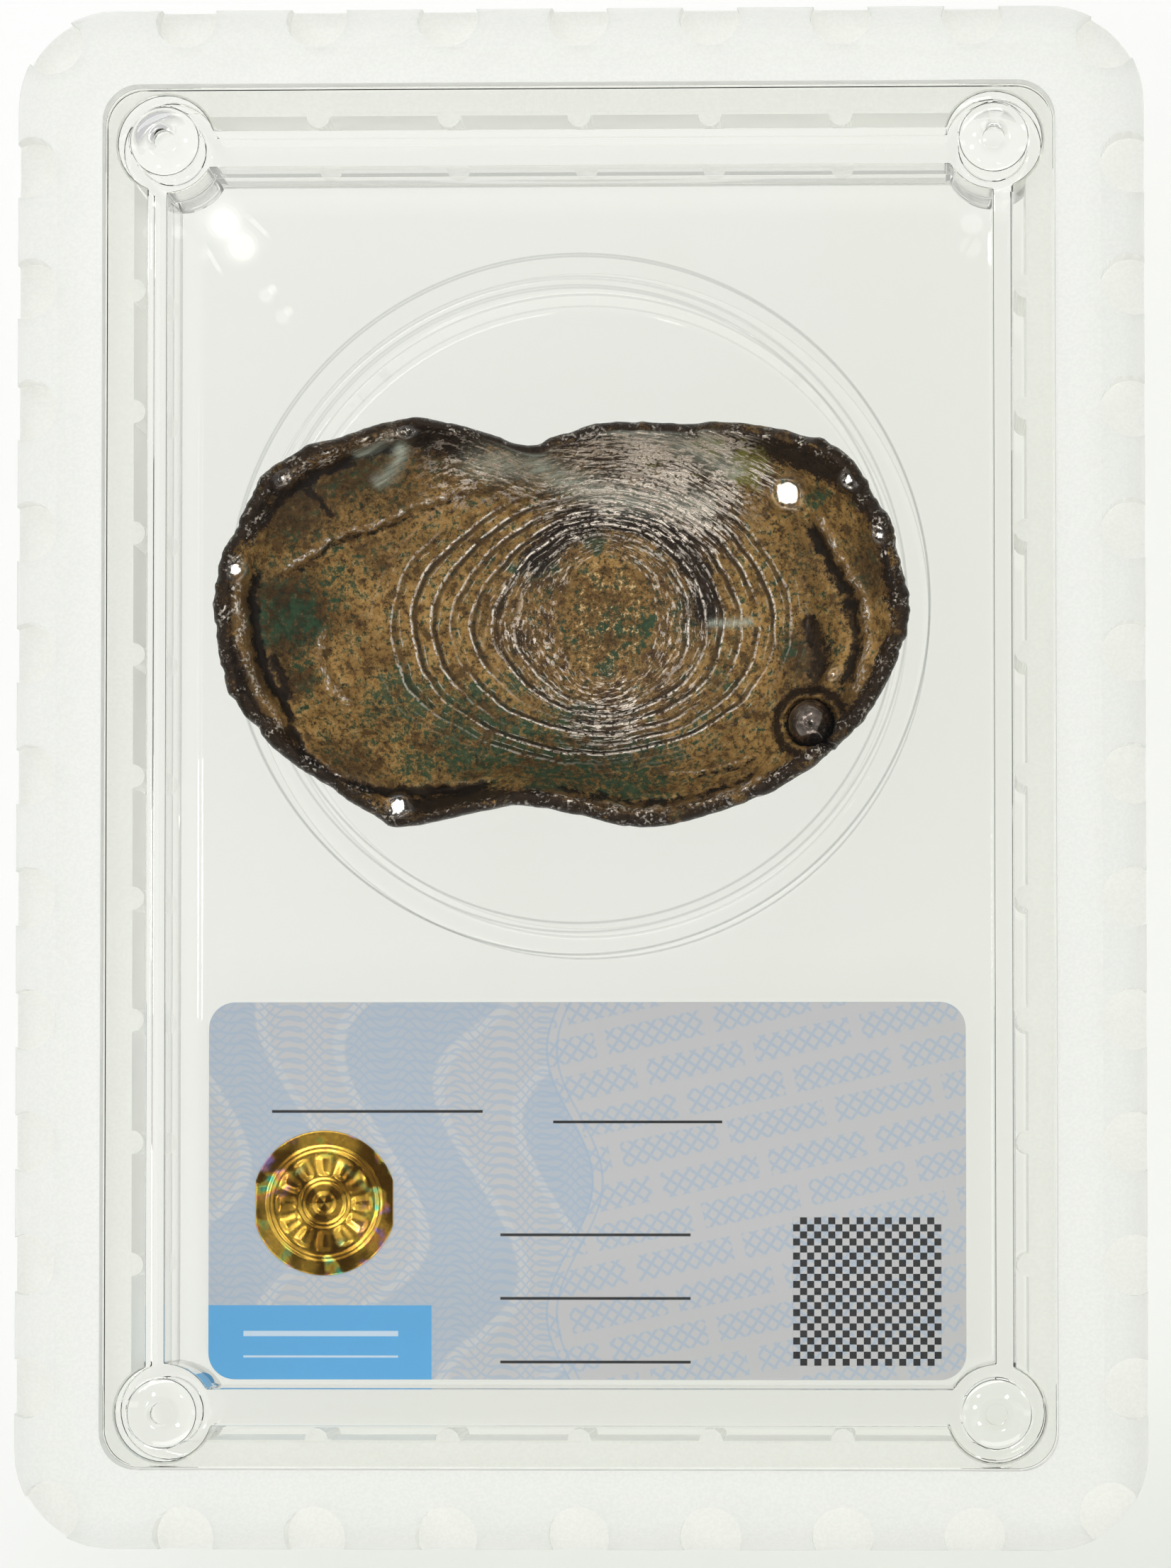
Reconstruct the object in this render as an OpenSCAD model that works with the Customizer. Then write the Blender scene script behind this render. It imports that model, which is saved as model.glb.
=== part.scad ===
// A boat-shaped silver ingot in its clear display holder.
// The holder lies on its back: X runs across it, Y up it, and Z out of its front.
// The origin is the middle of the back rim. Sizes are in millimetres.

/* [Ingot] */
// Length of the ingot over its rim
ingot_l = 38.8; // [34:0.1:44]
// Width of the ingot over its rim
ingot_w = 23; // [20:0.1:27]
// Height of the ingot to the top of its ears
ingot_h = 9.6; // [8:0.1:12]
// How far the rim dips between the ears
waist_dip = 1.4; // [0:0.1:2]
// Height of the rim's outer band
rim_t = 0.8; // [0.6:0.1:1.6]
// How far the rim's crest lies inside its outer edge
rim_crest = 0.7; // [0.4:0.1:1.2]
// Metal under the middle of the pool
pool_t = 2.4; // [2:0.1:4]
// How far the middle of the ripples lies from the ingot's middle
pool_x = 2.3; // [-4:0.1:4]
// Number of ripples that froze in the pool
ripple_n = 8; // [4:1:9]
// Height of a ripple
ripple_h = 0.25; // [0.1:0.05:0.4]
// Length of the flat foot
foot_l = 16; // [12:0.5:24]
// Width of the flat foot
foot_w = 9; // [7:0.5:14]

/* [Bead] */
// Diameter of the frozen droplet
bead_d = 2.6; // [1.6:0.1:3.2]
// Distance of its middle from the rim's outer edge
bead_inset = 2.1; // [1.8:0.1:3]
// Direction of the bead from the middle of the ripples, in degrees
bead_way = -26; // [-60:1:60]
// Clearance of the bead in its socket
bead_gap = 0.05; // [0.02:0.01:0.1]

/* [Seat ring] */
// Height of the ring that the ingot's belly sits in
ring_h = 2; // [1:0.1:3]
// Width of the ring at its foot
ring_w = 1.8; // [1.2:0.1:3]
// Width of the ring at its top
ring_top_w = 1.3; // [0.9:0.1:1.8]
// Rounding of the ring's two top edges
ring_edge_r = 0.4; // [0.2:0.05:0.5]
// Least gap between the ring and the belly
ring_gap = 1.35; // [0.4:0.05:2]
// Sideways offset of the ingot in the ring
ingot_off_x = -1.1; // [-2:0.1:2]
// Upward offset of the ingot in the ring
ingot_off_y = -0.8; // [-2:0.1:2]

/* [Label] */
// Width of the label card
label_w = 43; // [36:0.5:50]
// Height of the label card
label_h = 21.4; // [16:0.2:28]
// Thickness of the label card
label_t = 0.3; // [0.2:0.05:0.6]
// Corner radius of the label card
label_r = 1.5; // [0.5:0.1:3]
// Depth of the pocket that the card lies in
label_sink = 0.2; // [0.1:0.05:0.5]
// Clearance round the card in its pocket
label_gap = 0.1; // [0.05:0.05:0.3]
// Diameter of the foil seal
seal_d = 8.2; // [5:0.1:10]
// Width of the seal across its two flats
seal_flat_w = 7.8; // [4:0.1:10]
// Thickness of the seal
seal_t = 0.12; // [0.05:0.01:0.2]
// From the card's left edge to the seal's middle
seal_in = 6.6; // [5.5:0.1:12]
// From the card's lower edge to the seal's middle
seal_up = 10; // [5.5:0.1:12]

/* [Chamber] */
// Room beside the ring and the ingot
side_room = 3.5; // [2:0.1:6]
// Room beside the label card
label_side_room = 1.6; // [1:0.1:4]
// Room above the ring
top_room = 5.1; // [4:0.1:10]
// Room between the ring and the label card
label_room = 2.4; // [1:0.1:6]
// Room below the label card
foot_room = 0.3; // [0.2:0.1:3]
// Free height above the ingot's ears
head_room = 0.5; // [0.3:0.1:2]

/* [Covers] */
// Thickness of each clear plate
plate_t = 1.8; // [1.4:0.1:3]
// Thickness of the rails along the sides
rail_side_t = 1; // [0.8:0.1:2]
// Thickness of the rails along the ends
rail_end_t = 2; // [1:0.1:3]
// Gap where the front and back rails meet
parting_gap = 0.1; // [0.05:0.05:0.3]
// Clearance of a plate in the frame, on each side
cover_gap = 0.1; // [0.05:0.05:0.3]

/* [Frame] */
// Width of the frame along the sides
frame_side_w = 5; // [4.5:0.1:8]
// Width of the frame along the ends
frame_end_w = 4.5; // [4.4:0.1:8]
// Width of the ledge that the two plates clamp
ledge_w = 1.6; // [1.2:0.1:2.2]
// Gap between the ledge and the rails
rail_gap = 0.8; // [0.5:0.1:1.5]
// Depth of each plate's face below the rim
face_recess = 0.8; // [0.5:0.1:2]
// Outer corner radius
corner_r = 5.5; // [4.5:0.1:7]
// Rounding of the outer edges
edge_r = 2.9; // [1.5:0.1:3.2]
// Corner radius of the window
window_r = 2.1; // [1:0.1:3]

/* [Grips] */
// Radius of a finger grip
grip_r = 1.7; // [1:0.1:2]
// How far a grip's middle lies inside the outer edge
grip_in = 0.8; // [0.2:0.1:1]
// Depth of a grip below the front or back rim
grip_deep = 4; // [2:0.1:5]
// Pitch of the grips along the sides
grip_pitch_side = 6.8; // [5:0.1:10]
// Pitch of the grips along the ends
grip_pitch_end = 7.3; // [5:0.1:10]
// Clearance between a centring pip and a rail
pip_gap = 0.15; // [0.1:0.05:0.3]

/* [Pins] */
// Radius of a corner boss
boss_r = 2.7; // [2.5:0.05:3]
// Clearance round a boss in the frame and the card
boss_gap = 0.15; // [0.1:0.05:0.3]
// How far a boss's middle lies in from a rail's outer side
boss_in_x = 1; // [0.8:0.1:2]
// How far a boss's middle lies in from a rail's outer end
boss_in_y = 0.7; // [0.5:0.1:2]
// Radius of a press pin
pin_r = 1.9; // [1.2:0.05:2]
// Clearance of a pin in the front cover
pin_press_gap = 0.02; // [0.01:0.01:0.05]
// Clearance of a pin in the back cover
pin_run_gap = 0.05; // [0.02:0.01:0.1]
// Free depth below a pin's tip
pin_tip_room = 0.3; // [0.2:0.1:1]
// Chamfer on a pin's tip
pin_tip = 0.5; // [0.2:0.1:1]
// Rise of a pin's dome above the front plate
pin_dome = 0.3; // [0.1:0.05:0.5]
// Radius of the dimple in a pin's dome
dimple_r = 0.6; // [0.4:0.05:1]
// Depth of the dimple below the front plate
dimple_d = 0.6; // [0.3:0.1:1.5]

/* [Hidden] */
$fn = 72;
CUT = 1;

// The rim's outline in a box two units wide and high, from the right end and round by the top
OUTLINE = [
    [1, 0], [0.97, 0.36], [0.89, 0.66], [0.78, 0.85], [0.56, 0.96], [0.31, 0.97], [0.12, 0.98],
    [-0.02, 0.91], [-0.1, 0.87], [-0.22, 0.93], [-0.44, 1], [-0.64, 0.91], [-0.82, 0.78], [-0.94, 0.48],
    [-1, 0.09], [-0.97, -0.28], [-0.85, -0.57], [-0.66, -0.81], [-0.48, -0.99], [-0.29, -0.94],
    [-0.13, -0.89], [0.04, -0.93], [0.22, -1], [0.44, -0.94], [0.66, -0.78], [0.85, -0.52], [0.96, -0.24]
];
STEPS = 2;
BELLY_RINGS = 8;
RIPPLE_RINGS = 3;
CALM_RINGS = 5;
EDGE_STEPS = 4;

function spline(a, b, c, d, t) =
    (2 * b + (c - a) * t + (2 * a - 5 * b + 4 * c - d) * t * t + (3 * b - a - 3 * c + d) * t * t * t) / 2;
function outline_at(i) = OUTLINE[(i + len(OUTLINE)) % len(OUTLINE)];
unit_rim = [
    for (i = [0 : len(OUTLINE) - 1], k = [0 : STEPS - 1])
        spline(outline_at(i - 1), outline_at(i), outline_at(i + 1), outline_at(i + 2), k / STEPS)
];
around = len(unit_rim);
pool = [pool_x, 0];

// One point of the rim, its height, and the point of the foot below it
function rim_at(i) = [unit_rim[i].x * ingot_l / 2, unit_rim[i].y * ingot_w / 2];
function rim_z(i) = ingot_h - waist_dip * pow(1 - min(1, unit_rim[i].x * unit_rim[i].x), 1.5);
function foot_at(i) = [unit_rim[i].x * foot_l / 2, unit_rim[i].y * foot_w / 2] / norm(unit_rim[i]);

// The belly swells from the foot to the rim along a quarter of an ellipse
function belly_at(i, turn) = foot_at(i) + (rim_at(i) - foot_at(i)) * sin(turn);
function belly_z(i, turn) = (rim_z(i) - rim_t) * (1 - cos(turn));
function belly_turn(i, z) = acos(1 - z / (rim_z(i) - rim_t));

// The pool's rings are round in the middle and follow the rim at the edge
pool_rings = RIPPLE_RINGS * ripple_n + 2 * CALM_RINGS;
function blend(s) = s * s * (3 - 2 * s);
function ray(i) = rim_at(i) - pool;
function crest_share(i) = 1 - rim_crest / norm(ray(i));
function pool_at(i, s) =
    pool + ray(i) * crest_share(i) * s * (blend(s) + (1 - blend(s)) * ingot_w / 2 / norm(ray(i)));
function is_crest(k) =
    k > CALM_RINGS && k < pool_rings - CALM_RINGS && (k - CALM_RINGS) % RIPPLE_RINGS == 1;
function pool_z(i, k) =
    pool_t + (rim_z(i) - pool_t) * pow(k / pool_rings, 3) + (is_crest(k) ? ripple_h : 0);

// Where a ray from the pool's middle meets the rim, for the bead's seat
bead_dir = [cos(bead_way), sin(bead_way)];
function across(a, b) = a.x * b.y - a.y * b.x;
function meets(i) =
    let (a = ray(i), b = ray((i + 1) % around))
    across(bead_dir, b) > 0 && across(bead_dir, a) <= 0 && bead_dir * b > 0;
bead_edge = [for (i = [0 : around - 1]) if (meets(i)) i][0];
bead_a = ray(bead_edge);
bead_b = ray((bead_edge + 1) % around);
bead_rim = across(bead_a, bead_b - bead_a) / across(bead_dir, bead_b - bead_a);
bead_out = bead_rim - bead_inset;
bead_share = bead_out / (bead_rim - rim_crest);
bead_z = pool_t + (rim_z(bead_edge) - pool_t) * pow(bead_share, 3);
bead_at = [pool.x + bead_dir.x * bead_out, pool.y + bead_dir.y * bead_out, bead_z];

// The ring stands clear of the belly at its own height
ingot_off = [ingot_off_x, ingot_off_y];
belly_reach = max([for (i = [0 : around - 1]) norm(ingot_off + belly_at(i, belly_turn(i, ring_h)))]);
ring_in = belly_reach + ring_gap;
ring_out = ring_in + ring_w;

// The chamber is as wide as the ring, the ingot or the card needs
ingot_reach = max([for (i = [0 : around - 1]) abs(ingot_off.x + rim_at(i).x)]);
chamber_w = 2 * max(ring_out + side_room, ingot_reach + side_room / 2, label_w / 2 + label_side_room);
chamber_h = top_room + 2 * ring_out + label_room + label_h + foot_room;
ring_y = chamber_h / 2 - top_room - ring_out;
label_y = foot_room + label_h / 2 - chamber_h / 2;

// The holder's sizes follow from the chamber outwards
rail_w = chamber_w + 2 * rail_side_t;
rail_h = chamber_h + 2 * rail_end_t;
ledge_in_w = rail_w + 2 * rail_gap;
ledge_in_h = rail_h + 2 * rail_gap;
window_w = ledge_in_w + 2 * ledge_w;
window_h = ledge_in_h + 2 * ledge_w;
holder_w = window_w + 2 * frame_side_w;
holder_h = window_h + 2 * frame_end_w;
boss_x = rail_w / 2 - boss_in_x;
boss_y = rail_h / 2 - boss_in_y;

// Levels from the back rim to the front rim
back_z = face_recess;
floor_z = back_z + plate_t;
ceiling_z = floor_z + ingot_h + head_room;
front_z = ceiling_z + plate_t;
holder_t = front_z + face_recess;
mid_z = (floor_z + ceiling_z) / 2;
label_z = floor_z - label_sink;

module rounded_rect(w, h, r) {
    square([w - 2 * r, h], center = true);
    square([w, h - 2 * r], center = true);
    for (x = [-1, 1], y = [-1, 1])
        translate([x * (w / 2 - r), y * (h / 2 - r)])
            circle(r = r);
}

module at_bosses() {
    for (x = [-1, 1], y = [-1, 1])
        translate([x * boss_x, y * boss_y])
            children();
}

module sycee_ingot() {
    color([0.56, 0.45, 0.3])
        translate([ingot_off.x, ring_y + ingot_off.y, floor_z])
            difference() {
                cast_boat();
                translate(bead_at)
                    sphere(r = bead_d / 2 + bead_gap);
            }
}

// The cast body, lofted from the pool's middle over the rim and down the belly to the foot
module cast_boat() {
    pool_pts = [
        for (k = [1 : pool_rings], i = [0 : around - 1])
            let (p = pool_at(i, k / pool_rings))
            [p.x, p.y, pool_z(i, k)]
    ];
    belly_pts = [
        for (k = [BELLY_RINGS : -1 : 0], i = [0 : around - 1])
            let (p = belly_at(i, 90 * k / BELLY_RINGS))
            [p.x, p.y, belly_z(i, 90 * k / BELLY_RINGS)]
    ];
    points = concat([[pool.x, pool.y, pool_t]], pool_pts, belly_pts, [[0, 0, 0]]);
    bands = pool_rings + BELLY_RINGS;
    last = len(points) - 1;
    polyhedron(points, concat(
        [for (i = [0 : around - 1]) [0, ring_pt(0, i + 1), ring_pt(0, i)]],
        [for (k = [0 : bands - 1], i = [0 : around - 1]) [ring_pt(k, i), ring_pt(k, i + 1), ring_pt(k + 1, i)]],
        [for (k = [0 : bands - 1], i = [0 : around - 1])
            [ring_pt(k, i + 1), ring_pt(k + 1, i + 1), ring_pt(k + 1, i)]],
        [for (i = [0 : around - 1]) [last, ring_pt(bands, i), ring_pt(bands, i + 1)]]
    ));
}

function ring_pt(k, i) = 1 + k * around + i % around;

module silver_bead() {
    color([0.72, 0.67, 0.6])
        translate([ingot_off.x, ring_y + ingot_off.y, floor_z])
            translate(bead_at)
                sphere(r = bead_d / 2);
}

// A plate with a rail and four bosses, from its outer face at zero to the parting plane
module cover_shell(depth) {
    linear_extrude(plate_t)
        rounded_rect(window_w - 2 * cover_gap, window_h - 2 * cover_gap, window_r);
    linear_extrude(depth)
        difference() {
            square([rail_w, rail_h], center = true);
            square([chamber_w, chamber_h], center = true);
        }
    linear_extrude(depth)
        at_bosses()
            circle(r = boss_r);
}

module back_cover() {
    color([0.86, 0.92, 0.94, 0.35])
        difference() {
            union() {
                translate([0, 0, back_z])
                    cover_shell(mid_z - parting_gap / 2 - back_z);
                translate([0, ring_y, floor_z])
                    seat_ring();
            }
            translate([0, label_y, label_z])
                linear_extrude(label_sink + CUT)
                    card_outline(label_gap);
            translate([0, 0, floor_z])
                at_bosses()
                    cylinder(r = pin_r + pin_run_gap, h = mid_z);
        }
}

// An upright outer wall, a leaning inner wall and two rounded top edges
module seat_ring() {
    lean = atan2(ring_w - ring_top_w, ring_h);
    outer = [ring_out - ring_edge_r, ring_h - ring_edge_r];
    inner = [ring_out - ring_top_w + ring_edge_r * tan(45 - lean / 2), ring_h - ring_edge_r];
    rotate_extrude()
        polygon(concat(
            [[ring_in, 0], [ring_out, 0]],
            [for (k = [0 : EDGE_STEPS]) outer + ring_edge_r * way(90 * k / EDGE_STEPS)],
            [for (k = [0 : EDGE_STEPS]) inner + ring_edge_r * way(90 + (90 - lean) * k / EDGE_STEPS)]
        ));
}

function way(a) = [cos(a), sin(a)];

module front_cover() {
    color([0.88, 0.94, 0.96, 0.25])
        difference() {
            translate([0, 0, front_z])
                mirror([0, 0, 1])
                    cover_shell(front_z - mid_z - parting_gap / 2);
            at_bosses()
                cylinder(r = pin_r + pin_press_gap, h = holder_t);
        }
}

module corner_pins() {
    color([0.9, 0.94, 0.95, 0.5])
        at_bosses()
            press_pin();
}

// A turned pin: chamfered tip, straight shank, low dome with a dimple
module press_pin() {
    tip_z = floor_z + pin_tip_room;
    dome_r = (pin_r * pin_r + pin_dome * pin_dome) / (2 * pin_dome);
    difference() {
        union() {
            translate([0, 0, tip_z])
                cylinder(r1 = pin_r - pin_tip, r2 = pin_r, h = pin_tip);
            translate([0, 0, tip_z + pin_tip])
                cylinder(r = pin_r, h = front_z - tip_z - pin_tip);
            intersection() {
                translate([0, 0, front_z + pin_dome - dome_r])
                    sphere(r = dome_r);
                translate([0, 0, front_z])
                    cylinder(r = pin_r, h = pin_dome);
            }
        }
        translate([0, 0, front_z - dimple_d])
            cylinder(r = dimple_r, h = dimple_d + pin_dome + CUT);
    }
}

module edge_frame() {
    color([0.93, 0.94, 0.92, 0.8]) {
        difference() {
            bumper();
            for (z = [-CUT, ceiling_z])
                translate([0, 0, z])
                    linear_extrude(floor_z + CUT)
                        rounded_rect(window_w, window_h, window_r);
            linear_extrude(holder_t)
                square([ledge_in_w, ledge_in_h], center = true);
            linear_extrude(holder_t)
                at_bosses()
                    circle(r = boss_r + boss_gap);
            grips();
        }
        pips();
    }
}

// The outer body with rounded edges: a core, four straight edges and four turned corners
module bumper() {
    core_w = holder_w - 2 * corner_r;
    core_h = holder_h - 2 * corner_r;
    translate([-core_w / 2, -core_h / 2, 0])
        cube([core_w, core_h, holder_t]);
    for (side = [0, 1])
        rotate([0, 0, 180 * side]) {
            translate([core_w / 2, core_h / 2, 0])
                rotate([90, 0, 0])
                    linear_extrude(core_h)
                        edge_section();
            translate([-core_w / 2, core_h / 2, 0])
                rotate([90, 0, 90])
                    linear_extrude(core_w)
                        edge_section();
            translate([core_w / 2, core_h / 2, 0])
                rotate_extrude(angle = 90)
                    edge_section();
            translate([-core_w / 2, core_h / 2, 0])
                rotate([0, 0, 90])
                    rotate_extrude(angle = 90)
                        edge_section();
        }
}

module edge_section() {
    square([corner_r - edge_r, holder_t]);
    translate([0, edge_r])
        square([corner_r, holder_t - 2 * edge_r]);
    for (z = [edge_r, holder_t - edge_r])
        translate([corner_r - edge_r, z])
            intersection() {
                circle(r = edge_r);
                translate([0, -edge_r])
                    square([edge_r, 2 * edge_r]);
            }
}

// Finger grips in the front and back edges, with the wall between them left whole
module grips() {
    for (z = [-CUT, holder_t - grip_deep])
        translate([0, 0, z])
            linear_extrude(grip_deep + CUT) {
                at_sides(grip_pitch_side, holder_w / 2 - grip_in, holder_h - 2 * corner_r, 0)
                    circle(r = grip_r);
                at_ends(grip_pitch_end, holder_h / 2 - grip_in, holder_w - 2 * corner_r, 0)
                    circle(r = grip_r);
                at_corners()
                    circle(r = grip_r);
            }
}

// Half-round pips on the ledge centre the covers' rails, one opposite each grip but the last
module pips() {
    pip_r = rail_gap - pip_gap;
    translate([0, 0, floor_z])
        linear_extrude(ceiling_z - floor_z) {
            at_sides(grip_pitch_side, ledge_in_w / 2, holder_h - 2 * corner_r, 1)
                circle(r = pip_r);
            at_ends(grip_pitch_end, ledge_in_h / 2, holder_w - 2 * corner_r, 1)
                circle(r = pip_r);
        }
}

module at_sides(pitch, x, length, skip) {
    count = floor(length / pitch) - 2 * skip;
    for (side = [-1, 1], i = [0 : count - 1])
        translate([side * x, (i - (count - 1) / 2) * pitch])
            children();
}

module at_ends(pitch, y, length, skip) {
    count = floor(length / pitch) - 2 * skip;
    for (side = [-1, 1], i = [0 : count - 1])
        translate([(i - (count - 1) / 2) * pitch, side * y])
            children();
}

module at_corners() {
    reach = (corner_r - grip_in) * cos(45);
    for (x = [-1, 1], y = [-1, 1])
        translate([x * (holder_w / 2 - corner_r + reach), y * (holder_h / 2 - corner_r + reach)])
            children();
}

// The card's outline, wider all round by a margin and cleared round the bosses
module card_outline(margin) {
    difference() {
        rounded_rect(label_w + 2 * margin, label_h + 2 * margin, label_r + margin);
        translate([0, -label_y])
            at_bosses()
                circle(r = boss_r + boss_gap - margin);
    }
}

module label_card() {
    color([0.8, 0.82, 0.86])
        translate([0, label_y, label_z])
            linear_extrude(label_t)
                card_outline(0);
}

module seal_disc() {
    color([0.83, 0.7, 0.4])
        translate([seal_in - label_w / 2, label_y + seal_up - label_h / 2, label_z + label_t])
            linear_extrude(seal_t)
                intersection() {
                    circle(r = seal_d / 2);
                    square([seal_flat_w, seal_d], center = true);
                }
}

sycee_ingot();
silver_bead();
front_cover();
back_cover();
edge_frame();
corner_pins();
label_card();
seal_disc();
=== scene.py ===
"""The looks of a boat-shaped silver ingot in its clear display holder."""
import math

import bmesh
import bpy
import numpy as np
from mathutils import Matrix, Vector


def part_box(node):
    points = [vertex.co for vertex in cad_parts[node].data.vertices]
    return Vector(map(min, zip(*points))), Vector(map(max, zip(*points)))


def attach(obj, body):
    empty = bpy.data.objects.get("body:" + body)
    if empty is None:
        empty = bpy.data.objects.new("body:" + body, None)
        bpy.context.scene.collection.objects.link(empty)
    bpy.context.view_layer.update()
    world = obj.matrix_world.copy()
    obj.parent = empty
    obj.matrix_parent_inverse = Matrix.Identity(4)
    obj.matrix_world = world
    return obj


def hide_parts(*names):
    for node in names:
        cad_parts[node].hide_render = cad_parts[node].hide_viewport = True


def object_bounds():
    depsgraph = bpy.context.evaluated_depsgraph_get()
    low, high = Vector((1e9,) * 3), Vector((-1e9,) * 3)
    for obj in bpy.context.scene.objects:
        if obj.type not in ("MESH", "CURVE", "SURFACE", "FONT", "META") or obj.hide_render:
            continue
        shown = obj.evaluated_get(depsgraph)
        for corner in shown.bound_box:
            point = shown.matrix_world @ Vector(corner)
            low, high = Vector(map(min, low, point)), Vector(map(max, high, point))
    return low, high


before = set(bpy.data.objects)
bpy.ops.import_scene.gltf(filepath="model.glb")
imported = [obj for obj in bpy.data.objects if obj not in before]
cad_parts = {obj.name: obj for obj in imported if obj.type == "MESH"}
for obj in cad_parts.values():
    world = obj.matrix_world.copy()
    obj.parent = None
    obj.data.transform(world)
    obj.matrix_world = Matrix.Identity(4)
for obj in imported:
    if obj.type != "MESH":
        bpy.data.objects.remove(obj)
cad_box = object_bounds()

MM = 0.001


def box_mm(node):
    """A CAD node's lowest and highest corners, in millimetres."""
    return [np.array(corner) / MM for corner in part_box(node)]


# Where the ingot, its bead, the card and the seal lie, from their CAD solids
ingot_low, ingot_high = box_mm("sycee_ingot")
INGOT_AT = np.array([(ingot_low[0] + ingot_high[0]) / 2, (ingot_low[1] + ingot_high[1]) / 2, ingot_low[2]])
HALF_L, HALF_W, INGOT_H = (ingot_high - ingot_low) / [2, 2, 1]
bead_low, bead_high = box_mm("silver_bead")
BEAD_AT = (bead_low + bead_high) / 2 - INGOT_AT
BEAD_R = (bead_high[0] - bead_low[0]) / 2
LABEL_LOW = box_mm("label_card")[0]
SEAL_LOW, SEAL_HIGH = box_mm("seal_disc")

# The ingot's form, in millimetres from the middle of its foot
OUTLINE = [
    (1, 0), (0.97, 0.36), (0.89, 0.66), (0.78, 0.85), (0.56, 0.96), (0.31, 0.97), (0.12, 0.98),
    (-0.02, 0.91), (-0.1, 0.87), (-0.22, 0.93), (-0.44, 1), (-0.64, 0.91), (-0.82, 0.78), (-0.94, 0.48),
    (-1, 0.09), (-0.97, -0.28), (-0.85, -0.57), (-0.66, -0.81), (-0.48, -0.99), (-0.29, -0.94),
    (-0.13, -0.89), (0.04, -0.93), (0.22, -1), (0.44, -0.94), (0.66, -0.78), (0.85, -0.52), (0.96, -0.24),
]
POOL_X = 2.3
POOL_T = 2.4
WAIST_DIP = 1.4
RIM_T = 0.8
RIM_CREST = 0.7
FOOT_HALF = (8, 4.5)
AROUND = 448
POOL_RINGS = 140
LIP_RINGS = 6
BELLY_RINGS = 30
TURN = np.linspace(0, 2 * math.pi, AROUND, endpoint=False)

# The rim's unevenness, coarse and fine, as (waves, share of its reach, millimetres of its height)
RIM_COARSE, RIM_FINE = (9, 0.03, 0.9), (30, 0.012, 0.3)
RIM_DROP = 0.25

# The ripples of the frozen pool: ovals round one middle, in millimetres. Each half-axis is that of the first
# ripple and its growth from one ripple to the next, to the right, up, to the left and down
RIPPLE_AT = (2.2, 0.1)
RIPPLE_AXES = [(4.9, 0.95), (5.2, 0.55), (4.9, 1.2), (4.6, 0.55)]
RIPPLE_ZONE = (-0.8, 0.0, 4.6, 7.4)
SILK_ZONE = (-2.4, -1.7, 0.4, 2.4)
RIPPLE_RISE, RIPPLE_W = 0.06, 0.11
TROUGH_SHARE, TROUGH_AT, TROUGH_W = 0.6, 0.25, 0.18
UPPER_ZONE = (-9, -4, 9, 12)

# Folds in the skin of the metal: a raised line with a dark crease on its right or left, in millimetres
FOLDS = [
    dict(points=[(-16.0, 2.6), (-14.4, 3.8), (-12.2, 5.2), (-10.0, 5.9), (-8.8, 6.6), (-6.6, 7.4),
                 (-4.5, 7.8)],
         rise=0.32, width=0.16, crease=0.22, crease_w=0.2, crease_at=-0.35, dark=0.65),
    dict(points=[(14.0, 6.6), (15.1, 4.6), (16.0, 2.8), (16.8, 1.2), (17.1, -1.0), (16.8, -2.8),
                 (16.2, -4.6)],
         rise=0.3, width=0.22, crease=0.4, crease_w=0.5, crease_at=-0.6, dark=1),
    dict(points=[(13.4, 0.7), (14.2, -0.5), (14.5, -2.0), (14.3, -3.2), (13.7, -4.2)],
         rise=0.05, width=0.4, crease=0.4, crease_w=0.65, crease_at=-0.1, dark=1),
    dict(points=[(-17.8, 3.6), (-18.0, 1.2), (-17.9, -0.9), (-17.2, -3.1), (-16.3, -4.8), (-15.2, -6.6)],
         rise=0.2, width=0.3, crease=0.35, crease_w=0.3, crease_at=0.75, dark=1),
    dict(points=[(-15.4, -5.0), (-14.6, -6.2), (-13.7, -7.6), (-12.2, -8.5), (-10.2, -9.0), (-8.0, -9.1),
                 (-5.3, -8.9), (-3.2, -8.5)],
         rise=0.12, width=0.15, crease=0.4, crease_w=0.4, crease_at=-0.4, dark=1),
    dict(points=[(5.2, -8.2), (7.4, -8.2), (9.4, -7.9), (11.4, -7.3)],
         rise=0.16, width=0.1, crease=0.08, crease_w=0.15, crease_at=-0.25, dark=0.5),
    dict(points=[(-16.0, 7.4), (-13.6, 9.1), (-10.8, 10.1), (-8.6, 10.6)],
         rise=0.25, width=0.3, crease=0.25, crease_w=0.35, crease_at=-0.5, dark=0.9),
    dict(points=[(-1.0, -9.6), (2.0, -10.3), (5.5, -10.6), (9.0, -9.8), (12.0, -8.4)],
         rise=0.25, width=0.25, crease=0.2, crease_w=0.35, crease_at=0.5, dark=0.7),
    dict(points=[(-13.2, 0.2), (-13.5, -1.6), (-13.0, -3.4), (-11.6, -4.9)],
         rise=0.26, width=0.2, crease=0.1, crease_w=0.25, crease_at=0.4, dark=0.3),
]

# How far the folds wander, as (millimetres, scale, seed, octaves), and how strongly a highlight is painted on
# their crests
FOLD_WANDER = [(0.4, 0.7, 15, 4), (0.35, 2.4, 17, 2)]
FOLD_HIGHLIGHT = 2.3

# Slow swellings of the skin, and the lumpy wall round the bead's cup, in millimetres
SWELL, DIMPLES = 0.5, 0.14
CUP_GAP, CUP_WALL_AT, CUP_WALL_W, SEAM_W = 0.06, 0.35, 0.3, 0.14
PIT_DEEP, PIT_FLAT = 0.35, 0.2

# The bead's lumps and its stretch, as shares of its radius
BEAD_FULL, BEAD_LUMPS = 0.99, 0.06
BEAD_STRETCH = (0.97, 1.03, 1)

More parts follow.
